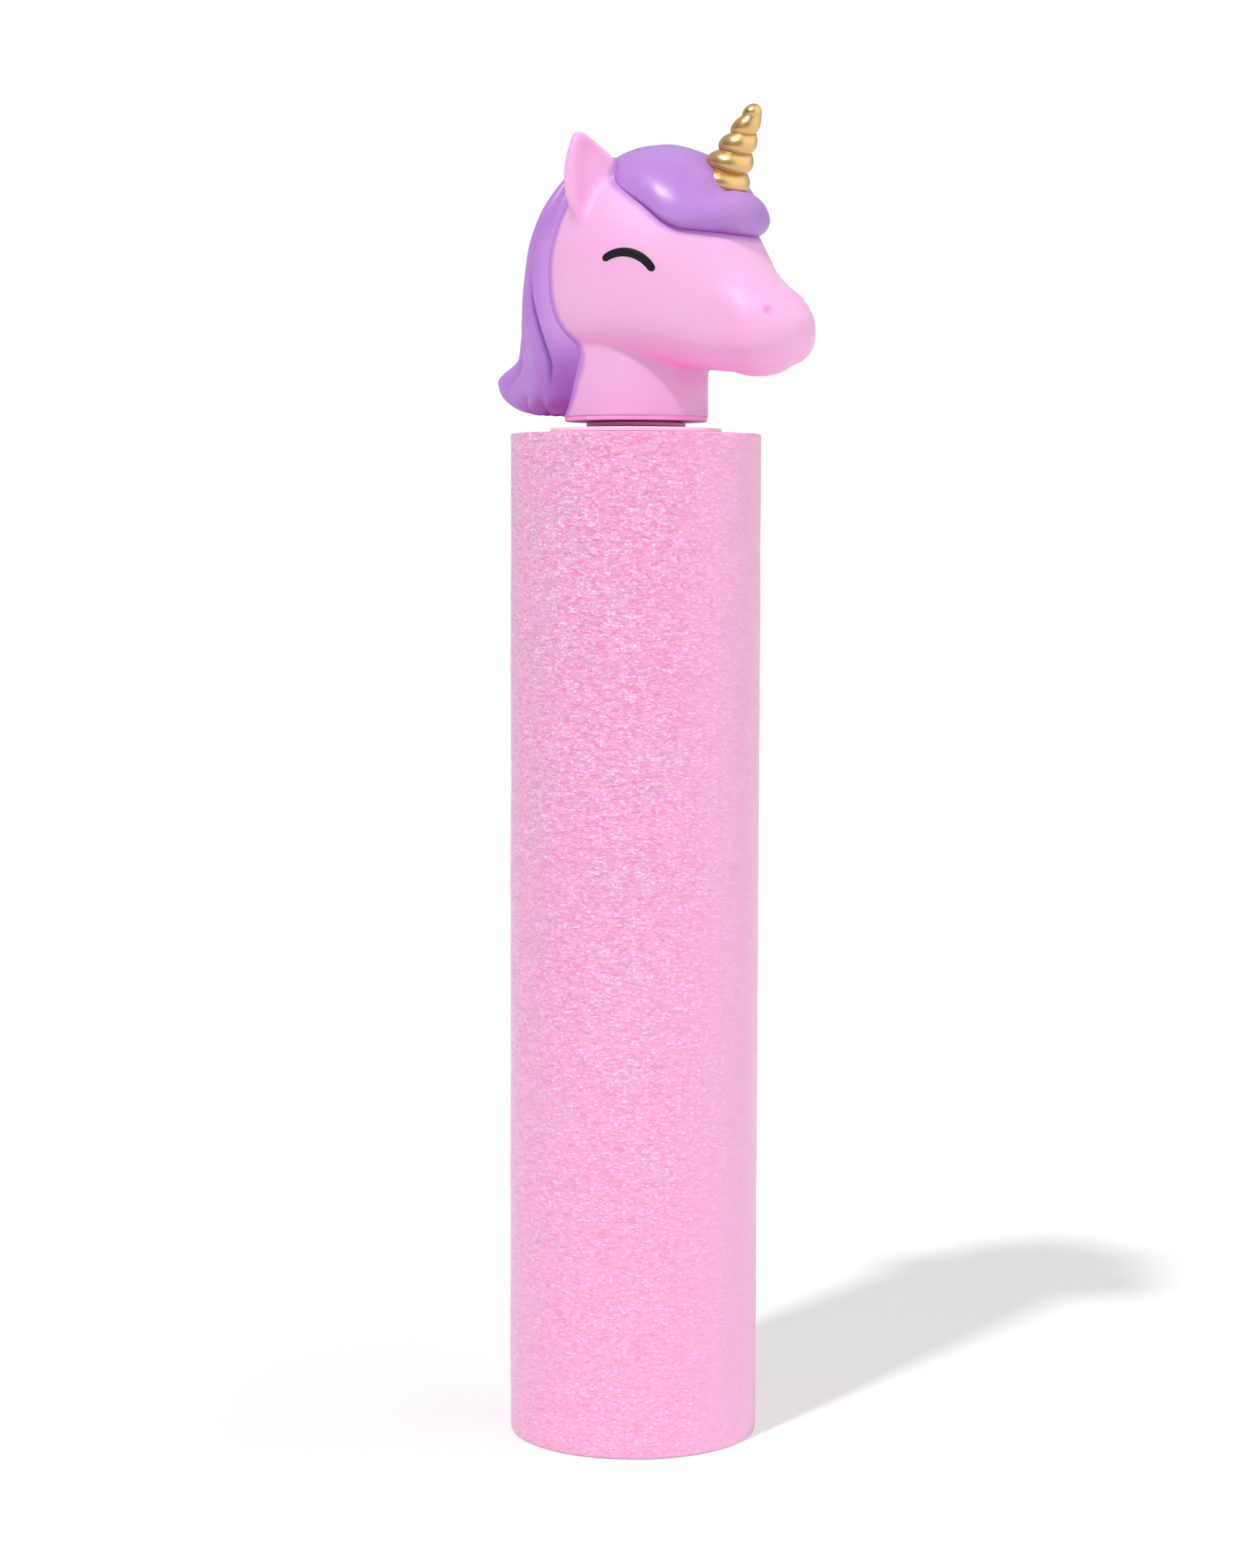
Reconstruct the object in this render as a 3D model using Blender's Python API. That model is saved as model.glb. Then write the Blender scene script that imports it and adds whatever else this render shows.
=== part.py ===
# Pump water squirter: a foam-sleeved barrel, a sliding plunger and a moulded unicorn head for a handle.
# Lengths are in metres, the squirter stands on its nozzle end, and the head looks along +X.
import bpy
import bmesh
from math import asin, copysign, cos, exp, pi, radians, sin, sqrt
from mathutils import Matrix, Vector
from mathutils.bvhtree import BVHTree

MM = 0.001

# Clearances shared by all the pieces
SEAT_GAP = 0.3 * MM          # between pieces that touch
HAIR_GAP = 0.4 * MM          # between the head and what is set on it
RUN_GAP = 0.7 * MM           # round the piston in its barrel
REST_GAP = 0.4 * MM          # under the collar with the plunger pushed in
DEAD_SPACE = 2.0 * MM        # under the piston with the plunger pushed in

# Foam sleeve and barrel
FOAM_DIAMETER = 60.0 * MM
FOAM_LENGTH = 241.5 * MM
FOAM_EDGE = 1.0 * MM
BARREL_DIAMETER = 34.0 * MM
BARREL_WALL = 1.6 * MM

# End caps
FLANGE_OVERHANG = 3.5 * MM   # of both caps past the barrel
NOZZLE_RECESS = 0.3 * MM
NOZZLE_FLANGE_THICKNESS = 1.6 * MM
NOZZLE_SPIGOT_LENGTH = 9.0 * MM
NOZZLE_WALL = 3.0 * MM
NOZZLE_FLOOR = 4.5 * MM
JET_DIAMETER = 6.0 * MM
JET_MOUTH_DIAMETER = 12.0 * MM
JET_MOUTH_DEPTH = 3.0 * MM
REAR_FLANGE_THICKNESS = 1.0 * MM
REAR_SPIGOT_LENGTH = 13.0 * MM
REAR_SPIGOT_WALL = 1.6 * MM
GUIDE_WALL = 1.8 * MM
GUIDE_LENGTH = 9.0 * MM
EDGE_BREAK = 0.25 * MM

# Plunger
ROD_DIAMETER = 17.7 * MM
ROD_WALL = 1.8 * MM
PISTON_HEIGHT = 15.0 * MM
PISTON_PLUG_LENGTH = 12.0 * MM
RING_SECTION = 2.4 * MM
RING_SPACING = 6.6 * MM
COLLAR_WIDTH = 2.7 * MM
COLLAR_THICKNESS = 1.0 * MM
LIP_INSET = 0.4 * MM         # of the insert's lip from the neck's side
LIP_THICKNESS = 0.8 * MM
INSERT_HEIGHT = 15.0 * MM
INSERT_ROOF = 2.0 * MM

# Moulded head: heights count from the neck's lower edge, reaches from the barrel's axis
HEAD_WALL = 2.2 * MM
NECK_DIAMETER = 34.4 * MM
NECK_HEIGHT = 24.0 * MM
NECK_EDGE = 0.7 * MM
MUZZLE_LENGTH = 22.0 * MM    # from the brow to the nose
HEAD_UNIT = 1.0 * MM         # scale of the outlines below, which are in these units
BROW_FULLNESS = 2.2          # exponent of the rounded section above the widest level
CHEEK_FULLNESS = 2.9         # and below it
SKULL_WAIST = 0.48           # widest level as a share of the section's height
# Skull, from its back to the brow: forward, top, underside, half width
SKULL_STATIONS = (
    (-21.5, 43.0, 27.0, 8.0),
    (-18.5, 48.8, 20.0, 13.0),
    (-13.5, 53.8, 15.0, 17.3),
    (-6.0, 58.0, 12.2, 21.0),
    (3.0, 60.3, 11.6, 22.5),
    (11.0, 59.0, 11.3, 21.8),
    (18.0, 56.0, 10.9, 20.0),
    (24.0, 51.0, 10.4, 17.6),
)
# Muzzle: share of its length, then top, underside, half width
MUZZLE_STATIONS = (
    (0.23, 44.0, 10.0, 15.6),
    (0.41, 36.5, 10.4, 14.8),
    (0.59, 31.8, 10.7, 14.4),
    (0.77, 28.8, 11.9, 12.6),
    (0.92, 25.2, 14.2, 8.8),
    (1.0, 22.0, 17.2, 4.0),
)
CHIN_FROM_NOSE = 12.5 * MM
CHIN_HEIGHT = 13.7 * MM
CHIN_RADII = Vector((8.5, 10.0, 4.8)) * MM
NOSTRIL_RADIUS = 1.2 * MM
NOSTRIL_FROM_NOSE = 4.0 * MM
NOSTRIL_HEIGHT = 23.4 * MM

# Ears: share of the height, outer rim, inner rim, either side of the middle line
EAR_STATIONS = (
    (0.0, -1.0, 2.5),
    (0.12, -2.3, 5.0),
    (0.31, -3.6, 9.0),
    (0.5, -3.9, 10.2),
    (0.68, -3.3, 9.2),
    (0.84, -2.3, 5.4),
    (0.94, -1.6, 2.8),
    (1.0, -1.0, 1.2),
)
EAR_ROOT = Vector((-4.0, -18.0, 44.0)) * HEAD_UNIT
EAR_TIP = Vector((-3.2, -21.0, 65.6)) * HEAD_UNIT
EAR_FACING = Vector((0.80, -0.58, 0.15))
EAR_RIM = 1.5 * MM
EAR_RIM_FLATNESS = 0.4       # exponent of the rim's section, smaller for a squarer rim
EAR_SCOOP = 3.0 * MM
EAR_CUP = 1.8                # exponent of the scoop, larger for a broader rim
EAR_BULGE = 2.2 * MM
EAR_THIN_FROM = 5.0 * MM     # half width under which the ear gets thinner towards its tip

# Smiling eyes
EYE_CENTRE = Vector((11.6, 0.0, 36.9)) * HEAD_UNIT
EYE_CHORD = 11.2 * MM
EYE_RISE = 2.2 * MM
EYE_STROKE = 2.2 * MM
EYE_DEPTH = 0.6 * MM
EYE_PROUD = 0.12 * MM
EYE_TILT = radians(13.0)

# Horn
HORN_BASE = Vector((24.1, 0.0, 53.6)) * HEAD_UNIT
HORN_LEAN = radians(25.5)
HORN_LENGTH = 20.0 * MM
HORN_ROOT = 7.0 * MM
HORN_BASE_RADIUS = 6.5 * MM
HORN_TIP_RADIUS = 2.0 * MM
HORN_TIP_ROUND = 2.0 * MM
HORN_TIP_FLAT = 0.35         # share of the radius that is left at the very tip
HORN_TURNS = 4.4
HORN_GROOVE = 0.24           # depth of the spiral groove as a share of the radius
HORN_RIDGE = 1.3             # exponent of the groove's section, larger for fuller ridges

# Mane: its locks part at grooves, and the middle of its hem flips up
MANE_REACH = 36.0 * MM
MANE_BACKING = 1.2 * MM      # of the mane's hidden front, ahead of the hairline
LOCK_ANGLE_CROWN = radians(31)
LOCK_ANGLE_HEM = radians(33)
LOCK_GROOVE = 1.8 * MM
LOCK_RIDGE = 2.0             # exponent of the grooves, larger for sharper ones
HEM_GROOVE = 1.5 * MM        # of the grooves that part each lock in two near the hem
HEM_GROOVE_TOP = 24.0 * MM
LOCK_FADE = 3                # exponent with which the grooves fade out towards the crown
FLIP_ANGLE = radians(42)
FLIP_FULLNESS = 4            # even exponent, larger for a flip with squarer sides
FLIP_HEIGHT = 8.5 * MM
FLIP_SPREAD_ABOVE = 4.2 * MM
FLIP_SPREAD_BELOW = 7.0 * MM
# Height, back, half width, hairline
MANE_STATIONS = (
    (0.5, 21.0, 14.0, -14.0),
    (1.6, 25.5, 15.8, -12.0),
    (4.0, 27.8, 17.4, -9.8),
    (8.5, 28.8, 18.6, -8.0),
    (12.5, 29.2, 19.4, -6.8),
    (17.0, 28.8, 20.0, -8.4),
    (23.0, 27.4, 20.4, -11.4),
    (28.0, 26.5, 20.5, -13.2),
    (33.0, 25.6, 20.4, -13.6),
    (41.0, 24.1, 20.0, -12.8),
    (48.0, 21.1, 18.4, -11.8),
    (53.0, 18.0, 16.0, -10.6),
    (57.5, 14.2, 12.6, -9.0),
    (61.0, 9.6, 6.4, -6.5),
)

# Forelock: forward, top, widest level, underside, half width
FORELOCK_FULLNESS = 2.1
FORELOCK_STATIONS = (
    (-8.5, 58.8, 56.0, 54.0, 6.5),
    (-3.0, 61.8, 55.4, 53.0, 10.2),
    (4.0, 63.6, 53.8, 51.2, 15.6),
    (10.5, 63.7, 51.4, 48.4, 18.8),
    (16.0, 62.2, 49.0, 45.2, 20.0),
    (20.5, 59.4, 47.6, 43.0, 19.8),
    (24.0, 56.2, 46.6, 41.4, 18.2),
    (27.0, 53.6, 46.2, 40.8, 15.6),
    (29.6, 52.0, 46.0, 41.0, 12.0),
    (31.4, 50.6, 45.8, 42.0, 8.2),
    (32.2, 48.6, 45.8, 43.4, 4.4),
)

# Fineness of the faceting
ROUND = 32
FOAM_ROUND = 56
FOAM_EDGE_POINTS = 3
RING_SIDES = 6
SKULL_SIDES = 28
SKULL_LEVELS = 30
CAVITY_SIDES = 14
CAVITY_LEVELS = 10
EAR_SIDES = 16
EAR_LEVELS = 15
HORN_SIDES = 16
HORN_LEVELS = 38
FORELOCK_SIDES = 22
FORELOCK_LEVELS = 15
MANE_SIDES = 37
MANE_FRONT_SIDES = 5
MANE_LEVELS = 16
MANE_CROWDING = 1.6          # exponent that brings the rings closer together at the hem
EYE_ARC_POINTS = 9
EYE_END_POINTS = 5
SHARP_ANGLE = radians(40)
CHIN_STEPS = 3
NOSTRIL_STEPS = 2
NECK_EDGE_STEPS = 2
NECK_SPARE = 6               # voxels of neck below its lower edge, cut off after the melt
SKULL_VOXEL = 0.7 * MM
SKULL_SMOOTHING_STEPS = 8
SKULL_KEEP = 0.044           # share of the melted skin's faces that is kept
WELD = 0.01 * MM

# Heights that follow from the sizes above
BARREL_BORE = BARREL_DIAMETER / 2 - BARREL_WALL
SPIGOT_RADIUS = BARREL_BORE - SEAT_GAP
FLANGE_RADIUS = BARREL_DIAMETER / 2 + FLANGE_OVERHANG
ROD_RADIUS = ROD_DIAMETER / 2
NOZZLE_FLANGE_TOP = NOZZLE_RECESS + NOZZLE_FLANGE_THICKNESS
NOZZLE_TOP = NOZZLE_FLANGE_TOP + NOZZLE_SPIGOT_LENGTH
PISTON_FOOT = NOZZLE_TOP + DEAD_SPACE
PISTON_TOP = PISTON_FOOT + PISTON_HEIGHT
REAR_FLANGE_FOOT = FOAM_LENGTH + SEAT_GAP
REAR_FLANGE_TOP = REAR_FLANGE_FOOT + REAR_FLANGE_THICKNESS
COLLAR_FOOT = REAR_FLANGE_TOP + REST_GAP
LIP_FOOT = COLLAR_FOOT + COLLAR_THICKNESS + SEAT_GAP
LIP_TOP = LIP_FOOT + LIP_THICKNESS
HEAD_Z = LIP_TOP + SEAT_GAP
INSERT_TOP = LIP_TOP + INSERT_HEIGHT
NECK_BORE = NECK_DIAMETER / 2 - HEAD_WALL
BROW_REACH = SKULL_STATIONS[-1][0]
NOSE_REACH = BROW_REACH * HEAD_UNIT + MUZZLE_LENGTH
HEAD_STATIONS = SKULL_STATIONS + tuple(
    (BROW_REACH + share * MUZZLE_LENGTH / HEAD_UNIT, *sizes) for share, *sizes in MUZZLE_STATIONS
)
HEAD_HALF_WIDTH = HEAD_UNIT * max(half for forward, top, under, half in HEAD_STATIONS)
WITHIN_HEAD = HEAD_HALF_WIDTH / 2
BESIDE_HEAD = HEAD_HALF_WIDTH * 2
AXIS_X = -(NOSE_REACH - MANE_REACH) / 2


# Scene helpers

def clear_scene():
    for old in list(bpy.data.objects):
        bpy.data.objects.remove(old, do_unlink=True)


def make_material(name, colour, roughness, metallic=0.0):
    made = bpy.data.materials.new(name)
    made.use_nodes = True
    shader = made.node_tree.nodes["Principled BSDF"]
    shader.inputs["Base Color"].default_value = (*colour, 1.0)
    shader.inputs["Roughness"].default_value = roughness
    shader.inputs["Metallic"].default_value = metallic
    return made


def make_empty(name, place, parent=None):
    empty = bpy.data.objects.new(name, None)
    empty.location = place
    empty.parent = parent
    bpy.context.collection.objects.link(empty)
    return empty


def add_object(name, shape, finish=None, parent=None):
    mesh = shape
    if isinstance(shape, bmesh.types.BMesh):
        mesh = bpy.data.meshes.new(name)
        shape.to_mesh(mesh)
        shape.free()
    made = bpy.data.objects.new(name, mesh)
    made.parent = parent
    bpy.context.collection.objects.link(made)
    mesh.shade_smooth()
    mesh.set_sharp_from_angle(angle=SHARP_ANGLE)
    if finish:
        mesh.materials.clear()
        mesh.materials.append(finish)
    return made


def as_cutter(made):
    made.hide_render = True
    made.display_type = "WIRE"
    return made


def combine(made, other, operation):
    # The exact solver can lose all the faces of a piece that is cut by the melted skin
    cut = made.modifiers.new(operation.lower() + "_" + other.name, "BOOLEAN")
    cut.operation = operation
    cut.object = other
    cut.solver = "MANIFOLD"


def evaluated_mesh(made):
    bpy.context.view_layer.update()
    graph = bpy.context.evaluated_depsgraph_get()
    return bpy.data.meshes.new_from_object(made.evaluated_get(graph))


# Turned pieces: a closed outline of radius and height, running down its outer side

def eased(outline, picks, cut, points=2):
    # The outline with the picked corners rounded over
    result = []
    for index, corner in enumerate(outline):
        if index not in picks:
            result.append(corner)
            continue
        here = Vector(corner)
        before = here + (Vector(outline[index - 1]) - here).normalized() * cut
        after = here + (Vector(outline[(index + 1) % len(outline)]) - here).normalized() * cut
        for share in spread(0.0, 1.0, points):
            result.append(tuple(before.lerp(here, share).lerp(here.lerp(after, share), share)))
    return result


def turned(name, outline, finish, parent, sides=ROUND):
    shape = bmesh.new()
    corners = [shape.verts.new((radius, 0.0, height)) for radius, height in outline]
    for start, end in zip(corners, corners[1:] + corners[:1]):
        shape.edges.new((start, end))
    made = add_object(name, shape, finish, parent)
    screw = made.modifiers.new("turn", "SCREW")
    screw.steps = screw.render_steps = sides
    screw.use_merge_vertices = True
    screw.merge_threshold = WELD
    screw.use_smooth_shade = True
    return made


def make_foam_sleeve(finish, parent):
    bore = BARREL_DIAMETER / 2 + SEAT_GAP
    pocket = FLANGE_RADIUS + SEAT_GAP
    pocket_roof = NOZZLE_FLANGE_TOP + SEAT_GAP
    outline = [
        (bore, FOAM_LENGTH),
        (FOAM_DIAMETER / 2, FOAM_LENGTH),
        (FOAM_DIAMETER / 2, 0.0),
        (pocket, 0.0),
        (pocket, pocket_roof),
        (bore, pocket_roof),
    ]
    outline = eased(outline, (1, 2), FOAM_EDGE, FOAM_EDGE_POINTS)
    return turned("foam_sleeve", outline, finish, parent, FOAM_ROUND)


def make_barrel_tube(finish, parent):
    foot = NOZZLE_FLANGE_TOP + SEAT_GAP
    outline = [
        (BARREL_BORE, FOAM_LENGTH),
        (BARREL_DIAMETER / 2, FOAM_LENGTH),
        (BARREL_DIAMETER / 2, foot),
        (BARREL_BORE, foot),
    ]
    return turned("barrel_tube", outline, finish, parent)


def make_nozzle_cap(finish, parent):
    floor = NOZZLE_RECESS + NOZZLE_FLOOR
    cup = SPIGOT_RADIUS - NOZZLE_WALL
    outline = [
        (cup, NOZZLE_TOP),
        (SPIGOT_RADIUS, NOZZLE_TOP),
        (SPIGOT_RADIUS, NOZZLE_FLANGE_TOP),
        (FLANGE_RADIUS, NOZZLE_FLANGE_TOP),
        (FLANGE_RADIUS, NOZZLE_RECESS),
        (JET_MOUTH_DIAMETER / 2, NOZZLE_RECESS),
        (JET_DIAMETER / 2, NOZZLE_RECESS + JET_MOUTH_DEPTH),
        (JET_DIAMETER / 2, floor),
        (cup, floor),
    ]
    return turned("nozzle_cap", outline, finish, parent)


def make_rear_cap(finish, parent):
    guide = ROD_RADIUS + SEAT_GAP
    skirt = SPIGOT_RADIUS - REAR_SPIGOT_WALL
    outline = [
        (guide, REAR_FLANGE_TOP),
        (FLANGE_RADIUS, REAR_FLANGE_TOP),
        (FLANGE_RADIUS, REAR_FLANGE_FOOT),
        (SPIGOT_RADIUS, REAR_FLANGE_FOOT),
        (SPIGOT_RADIUS, REAR_FLANGE_FOOT - REAR_SPIGOT_LENGTH),
        (skirt, REAR_FLANGE_FOOT - REAR_SPIGOT_LENGTH),
        (skirt, REAR_FLANGE_FOOT),
        (guide + GUIDE_WALL, REAR_FLANGE_FOOT),
        (guide + GUIDE_WALL, REAR_FLANGE_FOOT - GUIDE_LENGTH),
        (guide, REAR_FLANGE_FOOT - GUIDE_LENGTH),
    ]
    return turned("rear_cap", eased(outline, (1, 2), EDGE_BREAK), finish, parent)


def make_piston(finish, parent):
    skin = BARREL_BORE - RUN_GAP
    groove = BARREL_BORE - 2 * SEAT_GAP - RING_SECTION
    half_groove = RING_SECTION / 2 + SEAT_GAP
    plug = ROD_RADIUS - ROD_WALL - SEAT_GAP
    outline = [
        (0.0, PISTON_TOP + PISTON_PLUG_LENGTH),
        (plug, PISTON_TOP + PISTON_PLUG_LENGTH),
        (plug, PISTON_TOP),
        (skin, PISTON_TOP),
    ]
    for height in ring_heights():
        outline += [
            (skin, height + half_groove),
            (groove, height + half_groove),
            (groove, height - half_groove),
            (skin, height - half_groove),
        ]
    outline += [(skin, PISTON_FOOT), (0.0, PISTON_FOOT)]
    return turned("piston", outline, finish, parent)


def ring_heights():
    middle = PISTON_FOOT + PISTON_HEIGHT / 2
    return (middle + RING_SPACING / 2, middle - RING_SPACING / 2)


def make_seal_ring(name, height, finish, parent):
    centre = BARREL_BORE - SEAT_GAP - RING_SECTION / 2
    turns = [-2 * pi * step / RING_SIDES for step in range(RING_SIDES)]
    outline = [
        (centre + RING_SECTION / 2 * cos(turn), height + RING_SECTION / 2 * sin(turn))
        for turn in turns
    ]
    return turned(name, outline, finish, parent)


def make_plunger_rod(finish, parent):
    foot = PISTON_TOP + SEAT_GAP
    top = INSERT_TOP - INSERT_ROOF - SEAT_GAP
    outline = [
        (ROD_RADIUS - ROD_WALL, top),
        (ROD_RADIUS, top),
        (ROD_RADIUS, foot),
        (ROD_RADIUS - ROD_WALL, foot),
    ]
    return turned("plunger_rod", outline, finish, parent)


def make_rod_collar(finish, parent):
    bore = ROD_RADIUS + SEAT_GAP
    outline = [
        (bore, COLLAR_FOOT + COLLAR_THICKNESS),
        (bore + COLLAR_WIDTH, COLLAR_FOOT + COLLAR_THICKNESS),
        (bore + COLLAR_WIDTH, COLLAR_FOOT),
        (bore, COLLAR_FOOT),
    ]
    return turned("rod_collar", eased(outline, (1, 2), EDGE_BREAK), finish, parent)


def make_neck_insert(finish, parent):
    socket = ROD_RADIUS + SEAT_GAP
    plug = NECK_BORE - SEAT_GAP
    lip = NECK_DIAMETER / 2 - LIP_INSET
    outline = [
        (0.0, INSERT_TOP),
        (plug, INSERT_TOP),
        (plug, LIP_TOP),
        (lip, LIP_TOP),
        (lip, LIP_FOOT),
        (socket, LIP_FOOT),
        (socket, INSERT_TOP - INSERT_ROOF),
        (0.0, INSERT_TOP - INSERT_ROOF),
    ]
    return turned("neck_insert", outline, finish, parent)


# Sculpted pieces: lofts through closed rings, placed above the neck's lower edge

def along(stations, place):
    # Sizes at one place, on a smooth curve through the stations
    last = len(stations) - 1
    index = 0
    while index < last - 1 and stations[index + 1][0] <= place:
        index += 1
    start, end = stations[index], stations[index + 1]
    before, after = stations[max(index - 1, 0)], stations[min(index + 2, last)]
    span = end[0] - start[0]
    share = (place - start[0]) / span
    sizes = []
    for column in range(1, len(start)):
        leave = (end[column] - before[column]) / (end[0] - before[0]) * span
        arrive = (after[column] - start[column]) / (after[0] - start[0]) * span
        step = end[column] - start[column]
        bend = share * (1 - share)
        sizes.append(
            start[column] + step * share * share * (3 - 2 * share)
            + bend * ((1 - share) * leave - share * arrive)
        )
    return sizes


def spread(first, last, count):
    return [first + (last - first) * step / (count - 1) for step in range(count)]


def rounded(turn, fullness):
    # Point on a rounded square of unit half width
    side, rise = cos(turn), sin(turn)
    power = 2 / fullness
    return copysign(abs(side) ** power, side), copysign(abs(rise) ** power, rise)


def add_loft(shape, rings):
    loops = [[shape.verts.new(point) for point in ring] for ring in rings]
    count = len(loops[0])
    for near, far in zip(loops, loops[1:]):
        for index in range(count):
            after = (index + 1) % count
            shape.faces.new((near[index], near[after], far[after], far[index]))
    for loop, turned_over in ((loops[0], True), (loops[-1], False)):
        hub = shape.verts.new(sum((corner.co for corner in loop), Vector()) / count)
        for index in range(count):
            pair = (loop[index], loop[(index + 1) % count])
            shape.faces.new((hub, *pair[::-1]) if turned_over else (hub, *pair))
    bmesh.ops.recalc_face_normals(shape, faces=shape.faces)


def skull_rings(grow, count, sides):
    rings = []
    past_end = grow / HEAD_UNIT
    for forward in spread(HEAD_STATIONS[0][0] - past_end, HEAD_STATIONS[-1][0] + past_end, count):
        top, under, half = along(HEAD_STATIONS, forward)
        waist = under + SKULL_WAIST * (top - under)
        ring = []
        for index in range(sides):
            turn = 2 * pi * index / sides
            fullness = BROW_FULLNESS if sin(turn) >= 0 else CHEEK_FULLNESS
            side, rise = rounded(turn, fullness)
            reach = top - waist if rise >= 0 else waist - under
            ring.append(Vector((
                forward * HEAD_UNIT,
                (half * HEAD_UNIT + grow) * side,
                HEAD_Z + waist * HEAD_UNIT + (reach * HEAD_UNIT + grow) * rise,
            )))
        rings.append(ring)
    return rings


def ear_rings(mirror):
    up = EAR_TIP - EAR_ROOT
    height = up.length
    up.normalize()
    facing = (EAR_FACING - EAR_FACING.dot(up) * up).normalized()
    across = up.cross(facing)
    rings = []
    for share in spread(0.0, 1.0, EAR_LEVELS):
        outer, inner = along(EAR_STATIONS, share)
        middle, half = (inner + outer) / 2 * HEAD_UNIT, (inner - outer) / 2 * HEAD_UNIT
        depth = min(1.0, half / EAR_THIN_FROM)
        ring = []
        for index in range(EAR_SIDES):
            turn = 2 * pi * index / EAR_SIDES
            side = cos(turn)
            hollow = 1 - side * side
            rim = EAR_RIM * sqrt(depth) * abs(sin(turn)) ** EAR_RIM_FLATNESS
            if sin(turn) >= 0:
                front = rim - depth * EAR_SCOOP * hollow ** EAR_CUP
            else:
                front = -rim - depth * (EAR_SCOOP + EAR_BULGE) * hollow
            point = EAR_ROOT + up * height * share + across * (middle + half * side) + facing * front
            ring.append(Vector((point.x, mirror * point.y, HEAD_Z + point.z)))
        rings.append(ring)
    return rings


def make_head_form():
    # Skull, muzzle, chin, neck and ears melted into one skin, before it is hollowed
    shape = bmesh.new()
    add_loft(shape, skull_rings(0.0, SKULL_LEVELS, SKULL_SIDES))
    for mirror in (1, -1):
        add_loft(shape, ear_rings(mirror))
    chin_place = Matrix.Translation((NOSE_REACH - CHIN_FROM_NOSE, 0, HEAD_Z + CHIN_HEIGHT))
    chin = chin_place @ Matrix.Diagonal((*CHIN_RADII, 1.0))
    bmesh.ops.create_icosphere(shape, subdivisions=CHIN_STEPS, radius=1.0, matrix=chin)
    overhang = NECK_SPARE * SKULL_VOXEL
    neck_middle = HEAD_Z + (NECK_HEIGHT - overhang) / 2
    bmesh.ops.create_cone(
        shape, cap_ends=True, segments=FOAM_ROUND, radius1=NECK_DIAMETER / 2, radius2=NECK_DIAMETER / 2,
        depth=NECK_HEIGHT + overhang, matrix=Matrix.Translation((0, 0, neck_middle)),
    )
    form = as_cutter(add_object("head_form", shape))
    melt = form.modifiers.new("melt", "REMESH")
    melt.mode = "VOXEL"
    melt.voxel_size = SKULL_VOXEL
    soften = form.modifiers.new("soften", "SMOOTH")
    soften.iterations = SKULL_SMOOTHING_STEPS
    thin = form.modifiers.new("thin", "DECIMATE")
    thin.ratio = SKULL_KEEP
    thin.use_symmetry = True
    thin.symmetry_axis = "Y"
    skin = bmesh.new()
    skin.from_mesh(evaluated_mesh(form))
    bpy.data.objects.remove(form, do_unlink=True)
    cut = bmesh.ops.bisect_plane(
        skin, geom=skin.verts[:] + skin.edges[:] + skin.faces[:],
        plane_co=(0, 0, HEAD_Z), plane_no=(0, 0, -1), clear_outer=True,
    )
    rim = [item for item in cut["geom_cut"] if isinstance(item, bmesh.types.BMEdge)]
    bmesh.ops.contextual_create(skin, geom=rim)
    bmesh.ops.bevel(skin, geom=rim, offset=NECK_EDGE, segments=NECK_EDGE_STEPS, affect="EDGES")
    bmesh.ops.triangulate(skin, faces=[face for face in skin.faces if len(face.verts) > 4])
    bmesh.ops.recalc_face_normals(skin, faces=skin.faces)
    return skin


def grown_copy(name, skin, grow, parent):
    copy = skin.copy()
    copy.normal_update()
    moves = [(corner, corner.normal * grow) for corner in copy.verts]
    for corner, move in moves:
        corner.co += move
    return as_cutter(add_object(name, copy, None, parent))


def make_cavity(parent):
    shape = bmesh.new()
    add_loft(shape, skull_rings(-HEAD_WALL, CAVITY_LEVELS, CAVITY_SIDES))
    return as_cutter(add_object("head_cavity", shape, None, parent))


def make_neck_bore(parent):
    shape = bmesh.new()
    depth = INSERT_TOP - HEAD_Z + 2 * SEAT_GAP
    bmesh.ops.create_cone(
        shape, cap_ends=True, segments=ROUND, radius1=NECK_BORE, radius2=NECK_BORE, depth=2 * depth,
        matrix=Matrix.Translation((0, 0, HEAD_Z)),
    )
    return as_cutter(add_object("neck_bore", shape, None, parent))


def eye_outline(grow):
    # Smiling arc with round ends, its top in the middle, at height 0
    arc_radius = (EYE_CHORD ** 2 / 4 + EYE_RISE ** 2) / (2 * EYE_RISE)
    half_turn = asin(EYE_CHORD / 2 / arc_radius)
    half = EYE_STROKE / 2 + grow
    points = []
    for way in (1, -1):
        for turn in spread(-way * half_turn, way * half_turn, EYE_ARC_POINTS):
            radius = arc_radius + way * half
            points.append((radius * sin(turn), radius * cos(turn) - arc_radius))
        end_x, end_z = arc_radius * sin(way * half_turn), arc_radius * cos(half_turn) - arc_radius
        facing = way * half_turn + (0.0 if way > 0 else pi)
        for turn in spread(facing, facing + pi, EYE_END_POINTS)[1:-1]:
            points.append((end_x + half * sin(turn), end_z + half * cos(turn)))
    return points


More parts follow.
